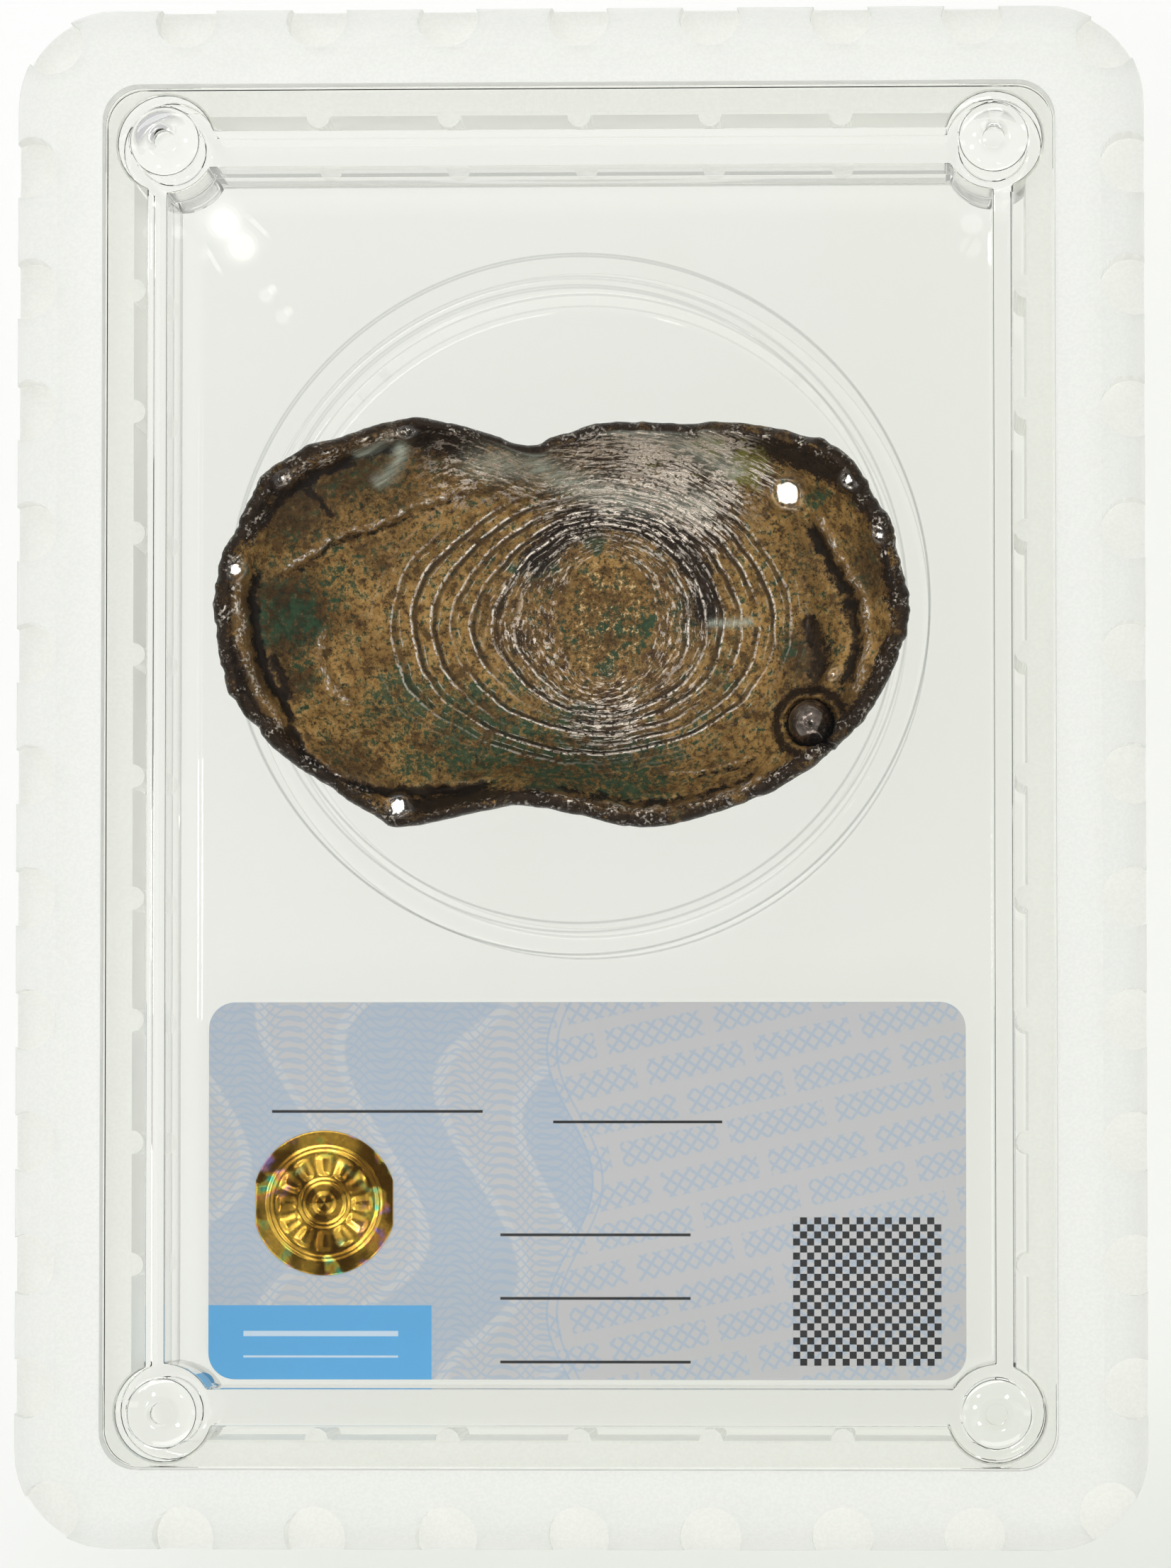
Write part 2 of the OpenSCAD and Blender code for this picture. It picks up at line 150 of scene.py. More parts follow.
# Small smooth faces that throw a lamp's light at the camera, as (x, y, radius, lamp), in millimetres
GLINTS = [
    (12.6, 7.3, 0.8, 1), (16.1, 7.8, 0.4, 1), (17.8, 4.7, 0.35, 1), (-18.1, 2.9, 0.5, 0),
    (-8.7, 10.7, 0.4, 0), (-9.1, -10.3, 0.6, 4), (-15.5, 8.0, 0.35, 0), (15.2, -2.9, 0.25, 3),
]

# Stains, as (x, y, radius, strength) in millimetres: green, olive, darker brown that is partly toning and
# partly painted shade, and bright sparkling metal
GREEN_STAINS = [
    (-15.0, 0.2, 2.7, 0.9), (-13.0, 2.4, 2.2, 0.65), (-9.0, -4.4, 3.0, 0.9), (-5.0, -6.2, 3.4, 1.15),
    (0.0, -7.0, 3.4, 1.2), (4.0, -8.4, 3.0, 1.05), (3.0, -0.3, 3.0, 0.58), (4.6, 0.1, 1.1, 0.9),
    (2.3, -2.2, 1.0, 0.8), (1.6, 5.0, 1.1, 0.95), (-1.8, 3.2, 1.8, 0.85), (14.4, 7.0, 1.0, 0.85),
    (12.6, -1.0, 1.1, 0.7), (7.4, 0.8, 1.9, 0.85), (-3.0, 7.6, 2.6, 0.42), (-7.5, 5.2, 2.0, 0.45),
    (-11.0, -7.0, 2.0, 0.45), (8.6, -3.0, 1.8, 0.6), (-3.0, -3.4, 1.8, 0.6), (7.6, -5.8, 2.0, 0.6),
    (-14.4, -2.2, 1.8, 0.6), (-8.0, -7.4, 2.4, 0.75), (-7.0, -3.2, 2.0, 0.6),
]
GREEN_LEAST, GREEN_MOST = 0.31, 0.76
MOSS_STAINS = [(10.4, 8.8, 1.5, 0.9), (8.4, 9.8, 1.2, 0.7), (5.0, 9.2, 2.0, 0.45), (7.0, 7.6, 1.6, 0.4)]
TONE_AND_SHADE_PATCHES = [
    (-15.8, 0.4, 3.0, 1.1), (-15.0, 7.0, 3.4, 0.9), (-11.5, 9.0, 3.2, 0.9), (-7.0, 10.0, 2.4, 0.8),
    (-17.6, -3.0, 2.2, 0.8), (-14.8, -3.2, 1.1, 0.9), (2.3, 0.2, 4.2, 0.55), (17.4, 3.0, 2.2, 0.7),
    (13.6, -1.8, 1.6, 0.9), (13.6, 3.6, 2.0, 0.5), (-12.0, -8.6, 2.6, 0.7), (0.5, -8.0, 4.5, 0.5),
    (8.5, -8.5, 3.0, 0.35), (-10.5, 4.0, 2.2, 0.4), (16.0, -4.6, 2.0, 0.5), (-9.8, 7.4, 2.4, 0.6),
    (-4.0, 3.6, 2.6, 0.35), (5.4, -7.6, 3.0, 0.4),
]
SPARKLES = [
    (5.8, 7.8, 2.8, 1.3), (7.8, 6.6, 2.2, 1.2), (2.4, 7.2, 1.8, 1), (8.8, 9.8, 1.6, 1),
    (4.6, 9.6, 2.4, 1.3), (11.2, 8.4, 0.9, 0.9), (0.2, 5.8, 1.8, 0.6), (2.6, -5.0, 2.6, 0.6),
    (6.4, -3.6, 2.0, 0.3), (6.8, 3.4, 1.6, 0.3), (-2.4, -0.4, 1.8, 0.5), (1.4, 10.4, 2.0, 0.9),
]
SILK_SHARE = 0.31

# Streaks along smooth lines, in millimetres: pale ones, the last of which is a painted reflection of the
# front cover, and umber ones
PALE_AND_REFLECTION_STREAKS = [
    dict(points=[(-6.5, 9.2), (-2.8, 9.0), (-1.0, 8.6), (2.5, 7.4), (7.0, 6.9), (9.0, 6.7)], width=0.7),
    dict(points=[(1.5, 11.2), (4.5, 10.6), (7.0, 9.8), (9.4, 8.7), (10.0, 8.2)], width=0.6),
    dict(points=[(7.6, 10.6), (8.8, 9.8), (9.6, 8.9)], width=0.35),
    dict(points=[(-8.9, 10.4), (-9.2, 9.2), (-9.8, 8.4), (-10.8, 7.8)], width=0.35),
    dict(points=[(-9.4, 10.5), (-10.6, 9.8), (-11.8, 9.4)], width=0.2),
    # Painted reflection of the front cover
    dict(points=[(7.9, 0.25), (9.4, 0.2), (10.8, 0.3)], width=0.22),
]
UMBER_STREAKS = [
    dict(points=[(8.0, 11.0), (12.0, 9.8), (15.5, 8.2), (17.8, 5.8), (18.8, 3.0), (18.9, -1.0)], width=1.1),
    dict(points=[(-17.5, 6.5), (-14.0, 9.0), (-10.5, 10.6), (-6.0, 10.4), (-3.5, 9.8)], width=1.3),
    dict(points=[(-19.0, 3.0), (-19.2, 0.0), (-18.6, -3.5), (-16.5, -6.5), (-13.0, -9.2), (-9.5, -10.6)],
         width=0.6),
    dict(points=[(-11.0, -9.8), (-8.0, -10.3), (-5.0, -9.8), (0.0, -10.2), (5.0, -11.0), (9.0, -10.4),
                 (13.0, -8.4), (16.5, -5.4)], width=0.8),
    dict(points=[(-2.6, 2.2), (-1.2, 4.4), (1.5, 6.2), (4.5, 5.9), (6.9, 4.2), (8.0, 1.6), (7.9, -1.2)],
         width=1.15),
    dict(points=[(-17.2, 4.6), (-15.6, 7.0), (-13.0, 8.6), (-11.0, 9.2)], width=0.35),
    dict(points=[(-14.6, 7.6), (-13.6, 6.9), (-12.8, 5.8)], width=0.3),
    dict(points=[(-16.4, -1.6), (-15.7, -3.0), (-15.1, -4.6)], width=0.45),
]

# The old silver's colours, among them painted shade, shadow, highlight and reflection
TONES = {
    "ochre": (0.235, 0.13, 0.037), "tan": (0.385, 0.222, 0.069), "straw": (0.57, 0.36, 0.14),
    "brown": (0.07, 0.038, 0.015), "tone_and_painted_shade": (0.045, 0.026, 0.012), "specks": (0.03, 0.018, 0.01),
    "flecks": (0.021, 0.042, 0.021), "worn": (0.78, 0.57, 0.29), "deep green": (0.014, 0.034, 0.02),
    "green": (0.028, 0.07, 0.036), "silk gaps": (0.034, 0.022, 0.018), "strokes": (0.04, 0.026, 0.015),
    "black": (0.008, 0.006, 0.005), "umber": (0.036, 0.023, 0.017), "moss": (0.19, 0.175, 0.035),
    "crease": (0.01, 0.007, 0.006), "shadow": (0.022, 0.016, 0.011), "pale_and_reflection": (0.47, 0.51, 0.42),
    "fold": (0.45, 0.26, 0.1), "bare": (0.93, 0.83, 0.73),
}

# Two colours each for the bead and the plastics, which vary between them, and the grey of the shade painted
# on the seat ring
BEAD_TONES = (0.1, 0.08, 0.07), (0.3, 0.25, 0.22)
CLEAR_TONES = (0.995, 1.0, 0.975), (0.998, 1.0, 0.981)
FROST_TONES = (0.88, 0.885, 0.85), (0.92, 0.925, 0.89)
PAINTED_RING_SHADE = (0.3, 0.31, 0.3)

# The back cover's seat ring: how far the ingot lies from its middle, the plate's top under both, and the
# ring's lines of painted shade, as (radius, share)
INGOT_OFF = (-1.1, -0.8)
RING_AT = INGOT_AT[:2] - INGOT_OFF
RING_FOOT = ingot_low[2]
PAINTED_RING_LINES = [(19.5, 0.5), (18.25, 0.3), (17.75, 0.35)]

# The CAD solids' softened edges, the hair's gap round clear pieces, and how near points are to be one, in
# millimetres. Edges are softened where they turn by more than some degrees
CLEAR_EDGE, FRAME_EDGE, CARD_EDGE = 0.1, 0.2, 0.03
CLEAR_GAP = 0.008
SAME_POINT = 0.0005
EDGE_TURN, EDGE_STEPS = 40, 2

# The printed card: places from its lower left corner and sizes of its patterns, in millimetres, the cosine
# and sine of its slanting rows, and its inks. Rules are (start, end, height), with a thickness in the band
BAND_W, BAND_H = 12.7, 4.2
PANEL_W, BORDER_W, BORDER_GAP = 20.6, 0.12, 0.45
MESH_PITCH, MESH_LINE = 0.6, 0.14
LATTICE_PITCH, LATTICE_LINE = 0.8, 0.2
ROW_PITCH, ROW_SHIFT, STRIP_LENGTH = 2.15, 1.9, 6.2
ROW_COSINE, ROW_SINE = 0.978, 0.208
RULE_W = 0.16
RULES = [(3.6, 15.6, 15.2), (19.6, 29.2, 14.6), (16.6, 27.4, 8.2), (16.6, 27.4, 4.6), (16.6, 27.4, 1.0)]
BAND_RULES = [(2.0, 10.8, 2.6, 0.3), (2.0, 10.8, 1.3, 0.12)]
GRID_AT, GRID_SIZE, GRID_CELLS = (33.2, 0.8), 8.4, 21
INKS = {
    "grey": (0.575, 0.575, 0.585), "blue": (0.37, 0.485, 0.635), "pale": (0.64, 0.65, 0.665),
    "band": (0.115, 0.42, 0.78), "band rule": (0.7, 0.8, 0.9), "black": (0.012, 0.012, 0.014),
}

# The seal: rings and rays of its foil, in millimetres, its gold of painted shade and sheen, and its rainbow
# flecks of painted sheen, as (place in the ramp, colour)
SEAL_AROUND, SEAL_RINGS, SEAL_RAYS = 240, 60, 12
SEAL_RISE, SEAL_BOSS = 0.06, 0.05
SEAL_RAY_ZONE = (1.5, 1.8, 2.5, 2.8)
SEAL_RING_ZONES = [(2.95, 3.05, 3.2, 3.3), (1.1, 1.2, 1.35, 1.45)]
FOIL_PAINTED_SHADE, FOIL_PAINTED_SHEEN = (0.19, 0.095, 0.01), (0.98, 0.6, 0.095)
FOIL_RAINBOW_SHEEN = [
    (0.34, (0.2, 0.8, 0.5)), (0.44, (0.95, 0.78, 0.1)), (0.54, (1.0, 0.42, 0.1)), (0.64, (0.6, 0.4, 0.9)),
]

# The photograph's height and scale, in pixels, and the camera, in millimetres, leaning by degrees
IMAGE_H = 2213
PIXELS_PER_MM = 25.05
CAMERA_FAR = 450
CAMERA_NEAREST = 10
CAMERA_AIM = (0.12, -0.22)
CAMERA_LEAN = (2.4, -2.8)
SENSOR_H = 36

# Long soft lamps, as (name, place, aim, size, watts), small bright ones round the camera, and faint ones that
# the front cover mirrors, as (x and y from the first, size, watts), in millimetres
LONG_LAMPS = [
    ("key", (-120, 300, 400), (0, 10, 0), (500, 60), 0.5),
    ("fill", (60, -330, 380), (0, 0, 0), (450, 110), 0.45),
    ("left", (-400, 40, 300), (0, 0, 0), (60, 400), 0.12),
    ("right", (400, -40, 300), (0, 0, 0), (60, 400), 0.12),
]
SMALL_LAMPS = [(-130, 110, 440), (110, 95, 440), (-150, 10, 430), (70, -140, 430), (-110, -120, 430)]
LAMP_SIZE, LAMP_POWER, LAMP_AIM = 30, 0.045, (0, 0, 8)
WINDOW_AT = (-58.2, 83.5, 450)
WINDOW_LAMPS = [
    (0, 0, 6, 0.00002), (0, 0, 5, 0.00002), (0, 0, 4, 0.00003), (0, 0, 3, 0.00004),
    (4.6, -8.0, 1.6, 0.000006), (5.2, -7.2, 1.0, 0.000004), (-5.4, -0.6, 1.4, 0.000006),
    (83, 0, 2.4, 0.00001), (87, 3, 1.6, 0.000006),
]

# The white floor's half width in millimetres, its colours with a painted falloff of the light, and how bright
# it and the light tent look
FLOOR_HALF = 1200
PAPER_AND_PAINTED_FALLOFF = {
    "white": (0.98, 0.982, 0.972), "right": (0.925, 0.935, 0.895),
    "far": (1.0, 1.0, 0.995), "near": (0.79, 0.815, 0.755),
}
FLOOR_SEEN, FLOOR_MIRRORED = 0.75, 0.88
TENT, TENT_LOW, TENT_LOW_GAPS, ZENITH = 0.6, 0.92, 0.62, 0.05
TENT_TINT = (0.98, 0.99, 1.0)

# How often light may turn
BOUNCES = 24


def smooth(low, high, value):
    """0 below low, 1 above high, and an even curve between."""
    t = np.clip((value - low) / (high - low), 0, 1)
    return t * t * (3 - 2 * t)


def within(zone, value):
    """1 inside a zone that fades in and out at both ends."""
    return smooth(zone[0], zone[1], value) * (1 - smooth(zone[2], zone[3], value))


def noise(u, v, seed, octaves=4):
    """Cloudy random values, about 0 to 1, over a plane of unit cells."""
    table = np.random.default_rng(seed).random((128, 128))
    total, weight, scale = 0, 0, 1
    for octave in range(octaves):
        x, y = u * scale + 17.3 * octave, v * scale + 9.1 * octave
        i, j = np.floor(x).astype(int), np.floor(y).astype(int)
        a, b = x - i, y - j
        a, b = a * a * (3 - 2 * a), b * b * (3 - 2 * b)
        i, j = i % 128, j % 128
        p, q = (i + 1) % 128, (j + 1) % 128
        low = table[i, j] * (1 - a) + table[p, j] * a
        high = table[i, q] * (1 - a) + table[p, q] * a
        total = total + (low * (1 - b) + high * b) / scale
        weight += 1 / scale
        scale *= 2
    return total / weight


def spline(points, closed, steps):
    """Points along a smooth curve through the given ones."""
    p = np.array(points, float)
    if closed:
        p = np.concatenate([p[-1:], p, p[:2]])
    else:
        p = np.concatenate([2 * p[:1] - p[1:2], p, 2 * p[-1:] - p[-2:-1]])
    t = np.linspace(0, 1, steps, endpoint=False)[:, None]
    runs = []
    for a, b, c, d in zip(p[:-3], p[1:-2], p[2:-1], p[3:]):
        runs.append((2 * b + (c - a) * t + (2 * a - 5 * b + 4 * c - d) * t ** 2
                     + (3 * b - a - 3 * c + d) * t ** 3) / 2)
    if not closed:
        runs.append(p[-2:-1])
    return np.concatenate(runs)


def even_loop(points, count):
    """The closed curve through the points, in equal steps."""
    curve = spline(points, True, 40)
    curve = np.concatenate([curve, curve[:1]])
    way = np.concatenate([[0], np.cumsum(np.linalg.norm(np.diff(curve, axis=0), axis=1))])
    at = np.linspace(0, way[-1], count, endpoint=False)
    return np.stack([np.interp(at, way, curve[:, axis]) for axis in (0, 1)], -1)


def from_line(x, y, points):
    """Signed distance of each place from a smooth line, positive on its left, and a fade at its ends."""
    line = spline(points, False, 6)
    best, side, share = np.full(x.shape, 1e9), np.zeros(x.shape), np.zeros(x.shape)
    count = len(line) - 1
    for n, (a, b) in enumerate(zip(line[:-1], line[1:])):
        d = b - a
        t = np.clip(((x - a[0]) * d[0] + (y - a[1]) * d[1]) / (d @ d), 0, 1)
        px, py = x - a[0] - t * d[0], y - a[1] - t * d[1]
        far = np.hypot(px, py)
        near = far < best
        best = np.where(near, far, best)
        side = np.where(near, np.where(d[0] * py - d[1] * px > 0, 1, -1), side)
        share = np.where(near, (n + t) / count, share)
    return best * side, within((0, 0.12, 0.88, 1), share)


def stains(x, y, places):
    """How strongly each place is stained, before it is broken up."""
    total = np.zeros(x.shape)
    for at_x, at_y, radius, strength in places:
        total = np.maximum(total, strength * np.exp(-((x - at_x) ** 2 + (y - at_y) ** 2) / radius ** 2))
    return total


def streaks(x, y, lines):
    """How strongly each place lies in one of the streaks."""
    total = np.zeros(x.shape)
    for line in lines:
        off, fade = from_line(x, y, line["points"])
        total = np.maximum(total, fade * np.exp(-(off / line["width"]) ** 2))
    return total


def mesh_piece(name, points, faces, body, look):
    """A new smooth mesh piece, from points in millimetres, that rides on a body."""
    mesh = bpy.data.meshes.new(name)
    mesh.from_pydata((np.asarray(points) * MM).tolist(), [], faces)
    mesh.polygons.foreach_set("use_smooth", [True] * len(mesh.polygons))
    piece = bpy.data.objects.new(name, mesh)
    bpy.context.scene.collection.objects.link(piece)
    mesh.materials.append(look)
    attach(piece, body)
    return piece


def paint(piece, name, values):
    """Stores a value for each point, for the material to read."""
    layer = piece.data.attributes.new(name, "FLOAT", "POINT")
    layer.data.foreach_set("value", np.asarray(values, np.float32).ravel())


class Nodes:
    """Builds the node tree of a material or of the world with short calls."""

    def __init__(self, owner, output="OutputMaterial"):
        self.owner = owner
        owner.use_nodes = True
        self.tree = owner.node_tree
        self.tree.nodes.clear()
        self.out = self.tree.nodes.new("ShaderNode" + output)

    def add(self, kind, inputs=(), **settings):
        node = self.tree.nodes.new("ShaderNode" + kind)
        for name, value in settings.items():
            setattr(node, name, value)
        for name, value in dict(inputs).items():
            self.put(node.inputs[name], value)
        return node

    def put(self, socket, value):
        if isinstance(value, bpy.types.NodeSocket):
            self.tree.links.new(value, socket)
        elif isinstance(value, tuple) and socket.type == "RGBA":
            socket.default_value = (*value, 1)
        else:
            socket.default_value = value

    def surface(self, socket):
        self.tree.links.new(socket, self.out.inputs["Surface"])
        return self.owner

    def principled(self, **inputs):
        names = {name.replace("_", " "): value for name, value in inputs.items()}
        return self.add("BsdfPrincipled", names).outputs[0]

    def value(self, name):
        return self.add("Attribute", attribute_name=name).outputs["Fac"]

    def place(self, origin=(0, 0, 0)):
        """Position in millimetres from a point of the shared frame."""
        where = self.add("TexCoord").outputs["Object"]
        inputs = {0: where, 1: (1 / MM,) * 3, 2: tuple(-float(value) for value in origin)}
        return self.add("VectorMath", inputs, operation="MULTIPLY_ADD").outputs[0]

    def axes(self, where):
        return self.add("SeparateXYZ", {0: where}).outputs

    def noise(self, where, scale, detail=3, roughness=0.55, distortion=0):
        inputs = {"Vector": where, "Scale": scale, "Detail": detail, "Roughness": roughness,
                  "Distortion": distortion}
        return self.add("TexNoise", inputs).outputs["Fac"]

    def math(self, operation, a, b=0.0):
        return self.add("Math", {0: a, 1: b}, operation=operation).outputs[0]

    def times(self, first, *others):
        for other in others:
            first = self.math("MULTIPLY", first, other)
        return first

    def most(self, first, *others):
        for other in others:
            first = self.math("MAXIMUM", first, other)
        return first

    def band(self, value, low, high):
        """0 at low and beyond, 1 at high and beyond."""
        inputs = {"Value": value, "From Min": low, "From Max": high}
        return self.add("MapRange", inputs, interpolation_type="SMOOTHSTEP").outputs[0]

    def mix(self, share, a, b):
        """One colour to another by a share."""
        node = self.tree.nodes.new("ShaderNodeMix")
        node.data_type = "RGBA"
        for socket, value in zip((node.inputs[0], node.inputs[6], node.inputs[7]), (share, a, b)):
            self.put(socket, value)
        return node.outputs[2]

    def blend(self, share, a, b):
        """One number to another by a share."""
        node = self.tree.nodes.new("ShaderNodeMix")
        for socket, value in zip((node.inputs[0], node.inputs[2], node.inputs[3]), (share, a, b)):
            self.put(socket, value)
        return node.outputs[0]

    def bump(self, height, strength, distance):
        inputs = {"Height": height, "Strength": strength, "Distance": distance * MM}
        return self.add("Bump", inputs).outputs[0]


def material(name):
    """The empty node tree of a new material."""
    return Nodes(bpy.data.materials.new(name))


def ripple_level(x, y):
    """Which ripple each place lies on, from 0 for the first one outwards, and the pitch there."""
    across, up = x - RIPPLE_AT[0], y - RIPPLE_AT[1]
    (right, more_right), (top, more_top), (left, more_left), (foot, more_foot) = RIPPLE_AXES
    first_x, more_x = np.where(across > 0, right, left), np.where(across > 0, more_right, more_left)
    first_y, more_y = np.where(up > 0, top, foot), np.where(up > 0, more_top, more_foot)
    low = np.maximum(-first_x / more_x, -first_y / more_y) + 0.01
    high = np.full(x.shape, 30.0)
    for _ in range(40):
        middle = (low + high) / 2
        inside = (across / (first_x + more_x * middle)) ** 2 + (up / (first_y + more_y * middle)) ** 2 < 1
        low, high = np.where(inside, low, middle), np.where(inside, middle, high)
    far = np.maximum(np.hypot(across, up), 1e-6)
    return low, more_x * (across / far) ** 2 + more_y * (up / far) ** 2


def camera_place():
    """Where the camera stands and the point that it looks at, in metres."""
    middle = (cad_box[0] + cad_box[1]) / 2
    aim = Vector((CAMERA_AIM[0] * MM, CAMERA_AIM[1] * MM, middle[2]))
    lean_x, lean_y = (math.tan(math.radians(angle)) for angle in CAMERA_LEAN)
    away = Vector((lean_x, lean_y, 1)).normalized()
    return aim + away * CAMERA_FAR * MM, aim


def glint_facing(x, y, z, lamp):
    """The way a small face on the ingot must look to throw a lamp's light at the camera."""
    at = Vector(INGOT_AT + [x, y, z])
    to_camera = (camera_place()[0] / MM - at).normalized()
    to_lamp = (Vector(SMALL_LAMPS[lamp]) - at).normalized()
    return (to_camera + to_lamp).normalized()


def uneven(x, y, scale, start, seed, octaves=4):
    """Cloudy random values about 0, finer for a larger scale."""
    return noise(x * scale + start, y * scale + start, seed, octaves) - 0.5


def ingot_rim():
    """The rim's outline and its height, both roughened."""
    (waves, coarse_out, coarse_up), (wavelets, fine_out, fine_up) = RIM_COARSE, RIM_FINE
    coarse = uneven(np.cos(TURN), np.sin(TURN), waves, 40, 3)
    fine = uneven(np.cos(TURN), np.sin(TURN), wavelets, 90, 4)
    rim = even_loop(OUTLINE, AROUND) * [HALF_L, HALF_W]
    rim = rim * (1 + (coarse_out * coarse + fine_out * fine)[:, None])
    waist = np.maximum(0, 1 - (rim[:, 0] / HALF_L) ** 2) ** 1.5
    rim_z = INGOT_H - WAIST_DIP * waist - RIM_DROP + coarse_up * coarse + fine_up * fine
    return rim, np.minimum(rim_z, INGOT_H)


def pool_rings(rim, rim_z):
    """Rings of points from the pool's middle out to the rim's crest, and each ring's share of the way."""
    ray = rim - [POOL_X, 0]
    reach = np.linalg.norm(ray, axis=1)
    s = (np.arange(1, POOL_RINGS + 1) / POOL_RINGS)[:, None]
    share = smooth(0, 1, s)
    stretch = (1 - RIM_CREST / reach) * s * (share + (1 - share) * HALF_W / reach)
    z = POOL_T + (rim_z - POOL_T) * s ** 3
    return POOL_X + ray[:, 0] * stretch, ray[:, 1] * stretch, z, s


def add_ripples(x, y, z, s, marks):
    """Broken raised lines round the pool's middle."""
    level, pitch = ripple_level(x, y)
    level = level + 0.7 * uneven(x, y, 0.2, 50, 11, 2) + 0.28 * uneven(x, y, 0.9, 50, 14, 2)
    line = np.rint(level)
    off = (level - line) * pitch
    broken = noise(line * 5.7 + 30, TURN * 5.5 / math.pi + 30 + 0 * line, 12, 3)
    strength = within(RIPPLE_ZONE, level) * smooth(0.15, 0.55, broken) * (1 - smooth(0.8, 0.95, s))
    crest = np.exp(-(off / RIPPLE_W) ** 2)
    trough = np.exp(-((off + TROUGH_AT) / TROUGH_W) ** 2)
    marks.update(level=level, pitch=pitch, ripple=strength)
    return z + RIPPLE_RISE * strength * (crest - TROUGH_SHARE * trough)


def add_folds(x, y, z, marks):
    """Raised folds with dark creases beside them and a highlight painted on their crests."""
    dark, shine = np.zeros(x.shape), np.zeros(x.shape)
    wander = 0
    for reach, scale, seed, octaves in FOLD_WANDER:
        wander = wander + reach * uneven(x, y, scale, 10, seed, octaves)
    faint = 0.45 + 1.1 * noise(x * 0.6 + 20, y * 0.6 + 20, 16)
    for fold in FOLDS:
        off, fade = from_line(x, y, fold["points"])
        fade = fade * faint
        ridge = fade * np.exp(-((off + wander) / fold["width"]) ** 2)
        crease = fade * np.exp(-((off + wander - fold["crease_at"]) / fold["crease_w"]) ** 2)
        z = z + fold["rise"] * ridge - fold["crease"] * crease
        dark = np.maximum(dark, fold["dark"] * crease)
        shine = np.maximum(shine, FOLD_HIGHLIGHT * fold["rise"] * ridge)
    marks.update(dark=dark, shine=shine)
    return z


def add_cup(x, y, z, marks):
    """The bead's cup, with a lumpy wall, a dark seam and a dark collar."""
    far = np.hypot(x - BEAD_AT[0], y - BEAD_AT[1])
    wall = 0.75 + 0.9 * uneven(x, y, 1.5, 35, 23, 2)
    z = z + wall * np.exp(-((far - BEAD_R - CUP_WALL_AT) / CUP_WALL_W) ** 2)
    cup_r = BEAD_R + CUP_GAP
    cup = BEAD_AT[2] - np.sqrt(np.maximum(0, cup_r ** 2 - far ** 2))
    seam = np.exp(-((far - BEAD_R) / SEAM_W) ** 2)
    marks.update(dark=np.maximum(marks["dark"], seam), collar=within((0.9, 1.5, 1.5, 2.1), far / BEAD_R))
    return np.where(far < cup_r, np.minimum(z, cup), z)


def add_glints(x, y, z, marks):
    """Small smooth faces, each turned to throw a lamp's light at the camera."""
    gloss = np.zeros(x.shape)
    for at_x, at_y, radius, lamp in GLINTS:
        far = np.hypot(x - at_x, y - at_y)
        height = z.flat[far.argmin()]
        facing = glint_facing(at_x, at_y, height, lamp)
        curve = radius * 4 * SMALL_LAMPS[lamp][2] / LAMP_SIZE
        tilt = (facing[0] * (x - at_x) + facing[1] * (y - at_y)) / facing[2]
        share = 1 - smooth(radius, 1.4 * radius + 0.2, far)
        z = z + (height - tilt - far ** 2 / 2 / curve - z) * share
        gloss = np.maximum(gloss, share)
    marks.update(gloss=gloss)
    return z


def lip_rings(rim, edge):
    """The lip, from the edge of the pool's skin over the rim."""
    lip = np.linspace(0, math.pi / 2, LIP_RINGS + 1)[1:, None]
    x, y = (edge[axis] + (rim[:, axis] - edge[axis]) * np.sin(lip) for axis in (0, 1))
    return x, y, edge[2] - RIM_T * (1 - np.cos(lip))


def belly_rings(rim, top):
    """The pitted belly, from the lip's last ring down to the foot."""
    bend = np.linspace(math.pi / 2, 0, BELLY_RINGS + 1)[1:, None]
    foot = rim / [HALF_L, HALF_W]
    foot = foot / np.linalg.norm(foot, axis=1)[:, None] * FOOT_HALF
    x, y = (foot[:, axis] + (rim[:, axis] - foot[:, axis]) * np.sin(bend) for axis in (0, 1))
    pits = smooth(0.55, 0.8, noise(x * 0.9 + 60, y * 0.9 + 60, 31))
    return x, y, top * (1 - np.cos(bend)) + PIT_DEEP * pits * np.sin(bend) + PIT_FLAT * pits


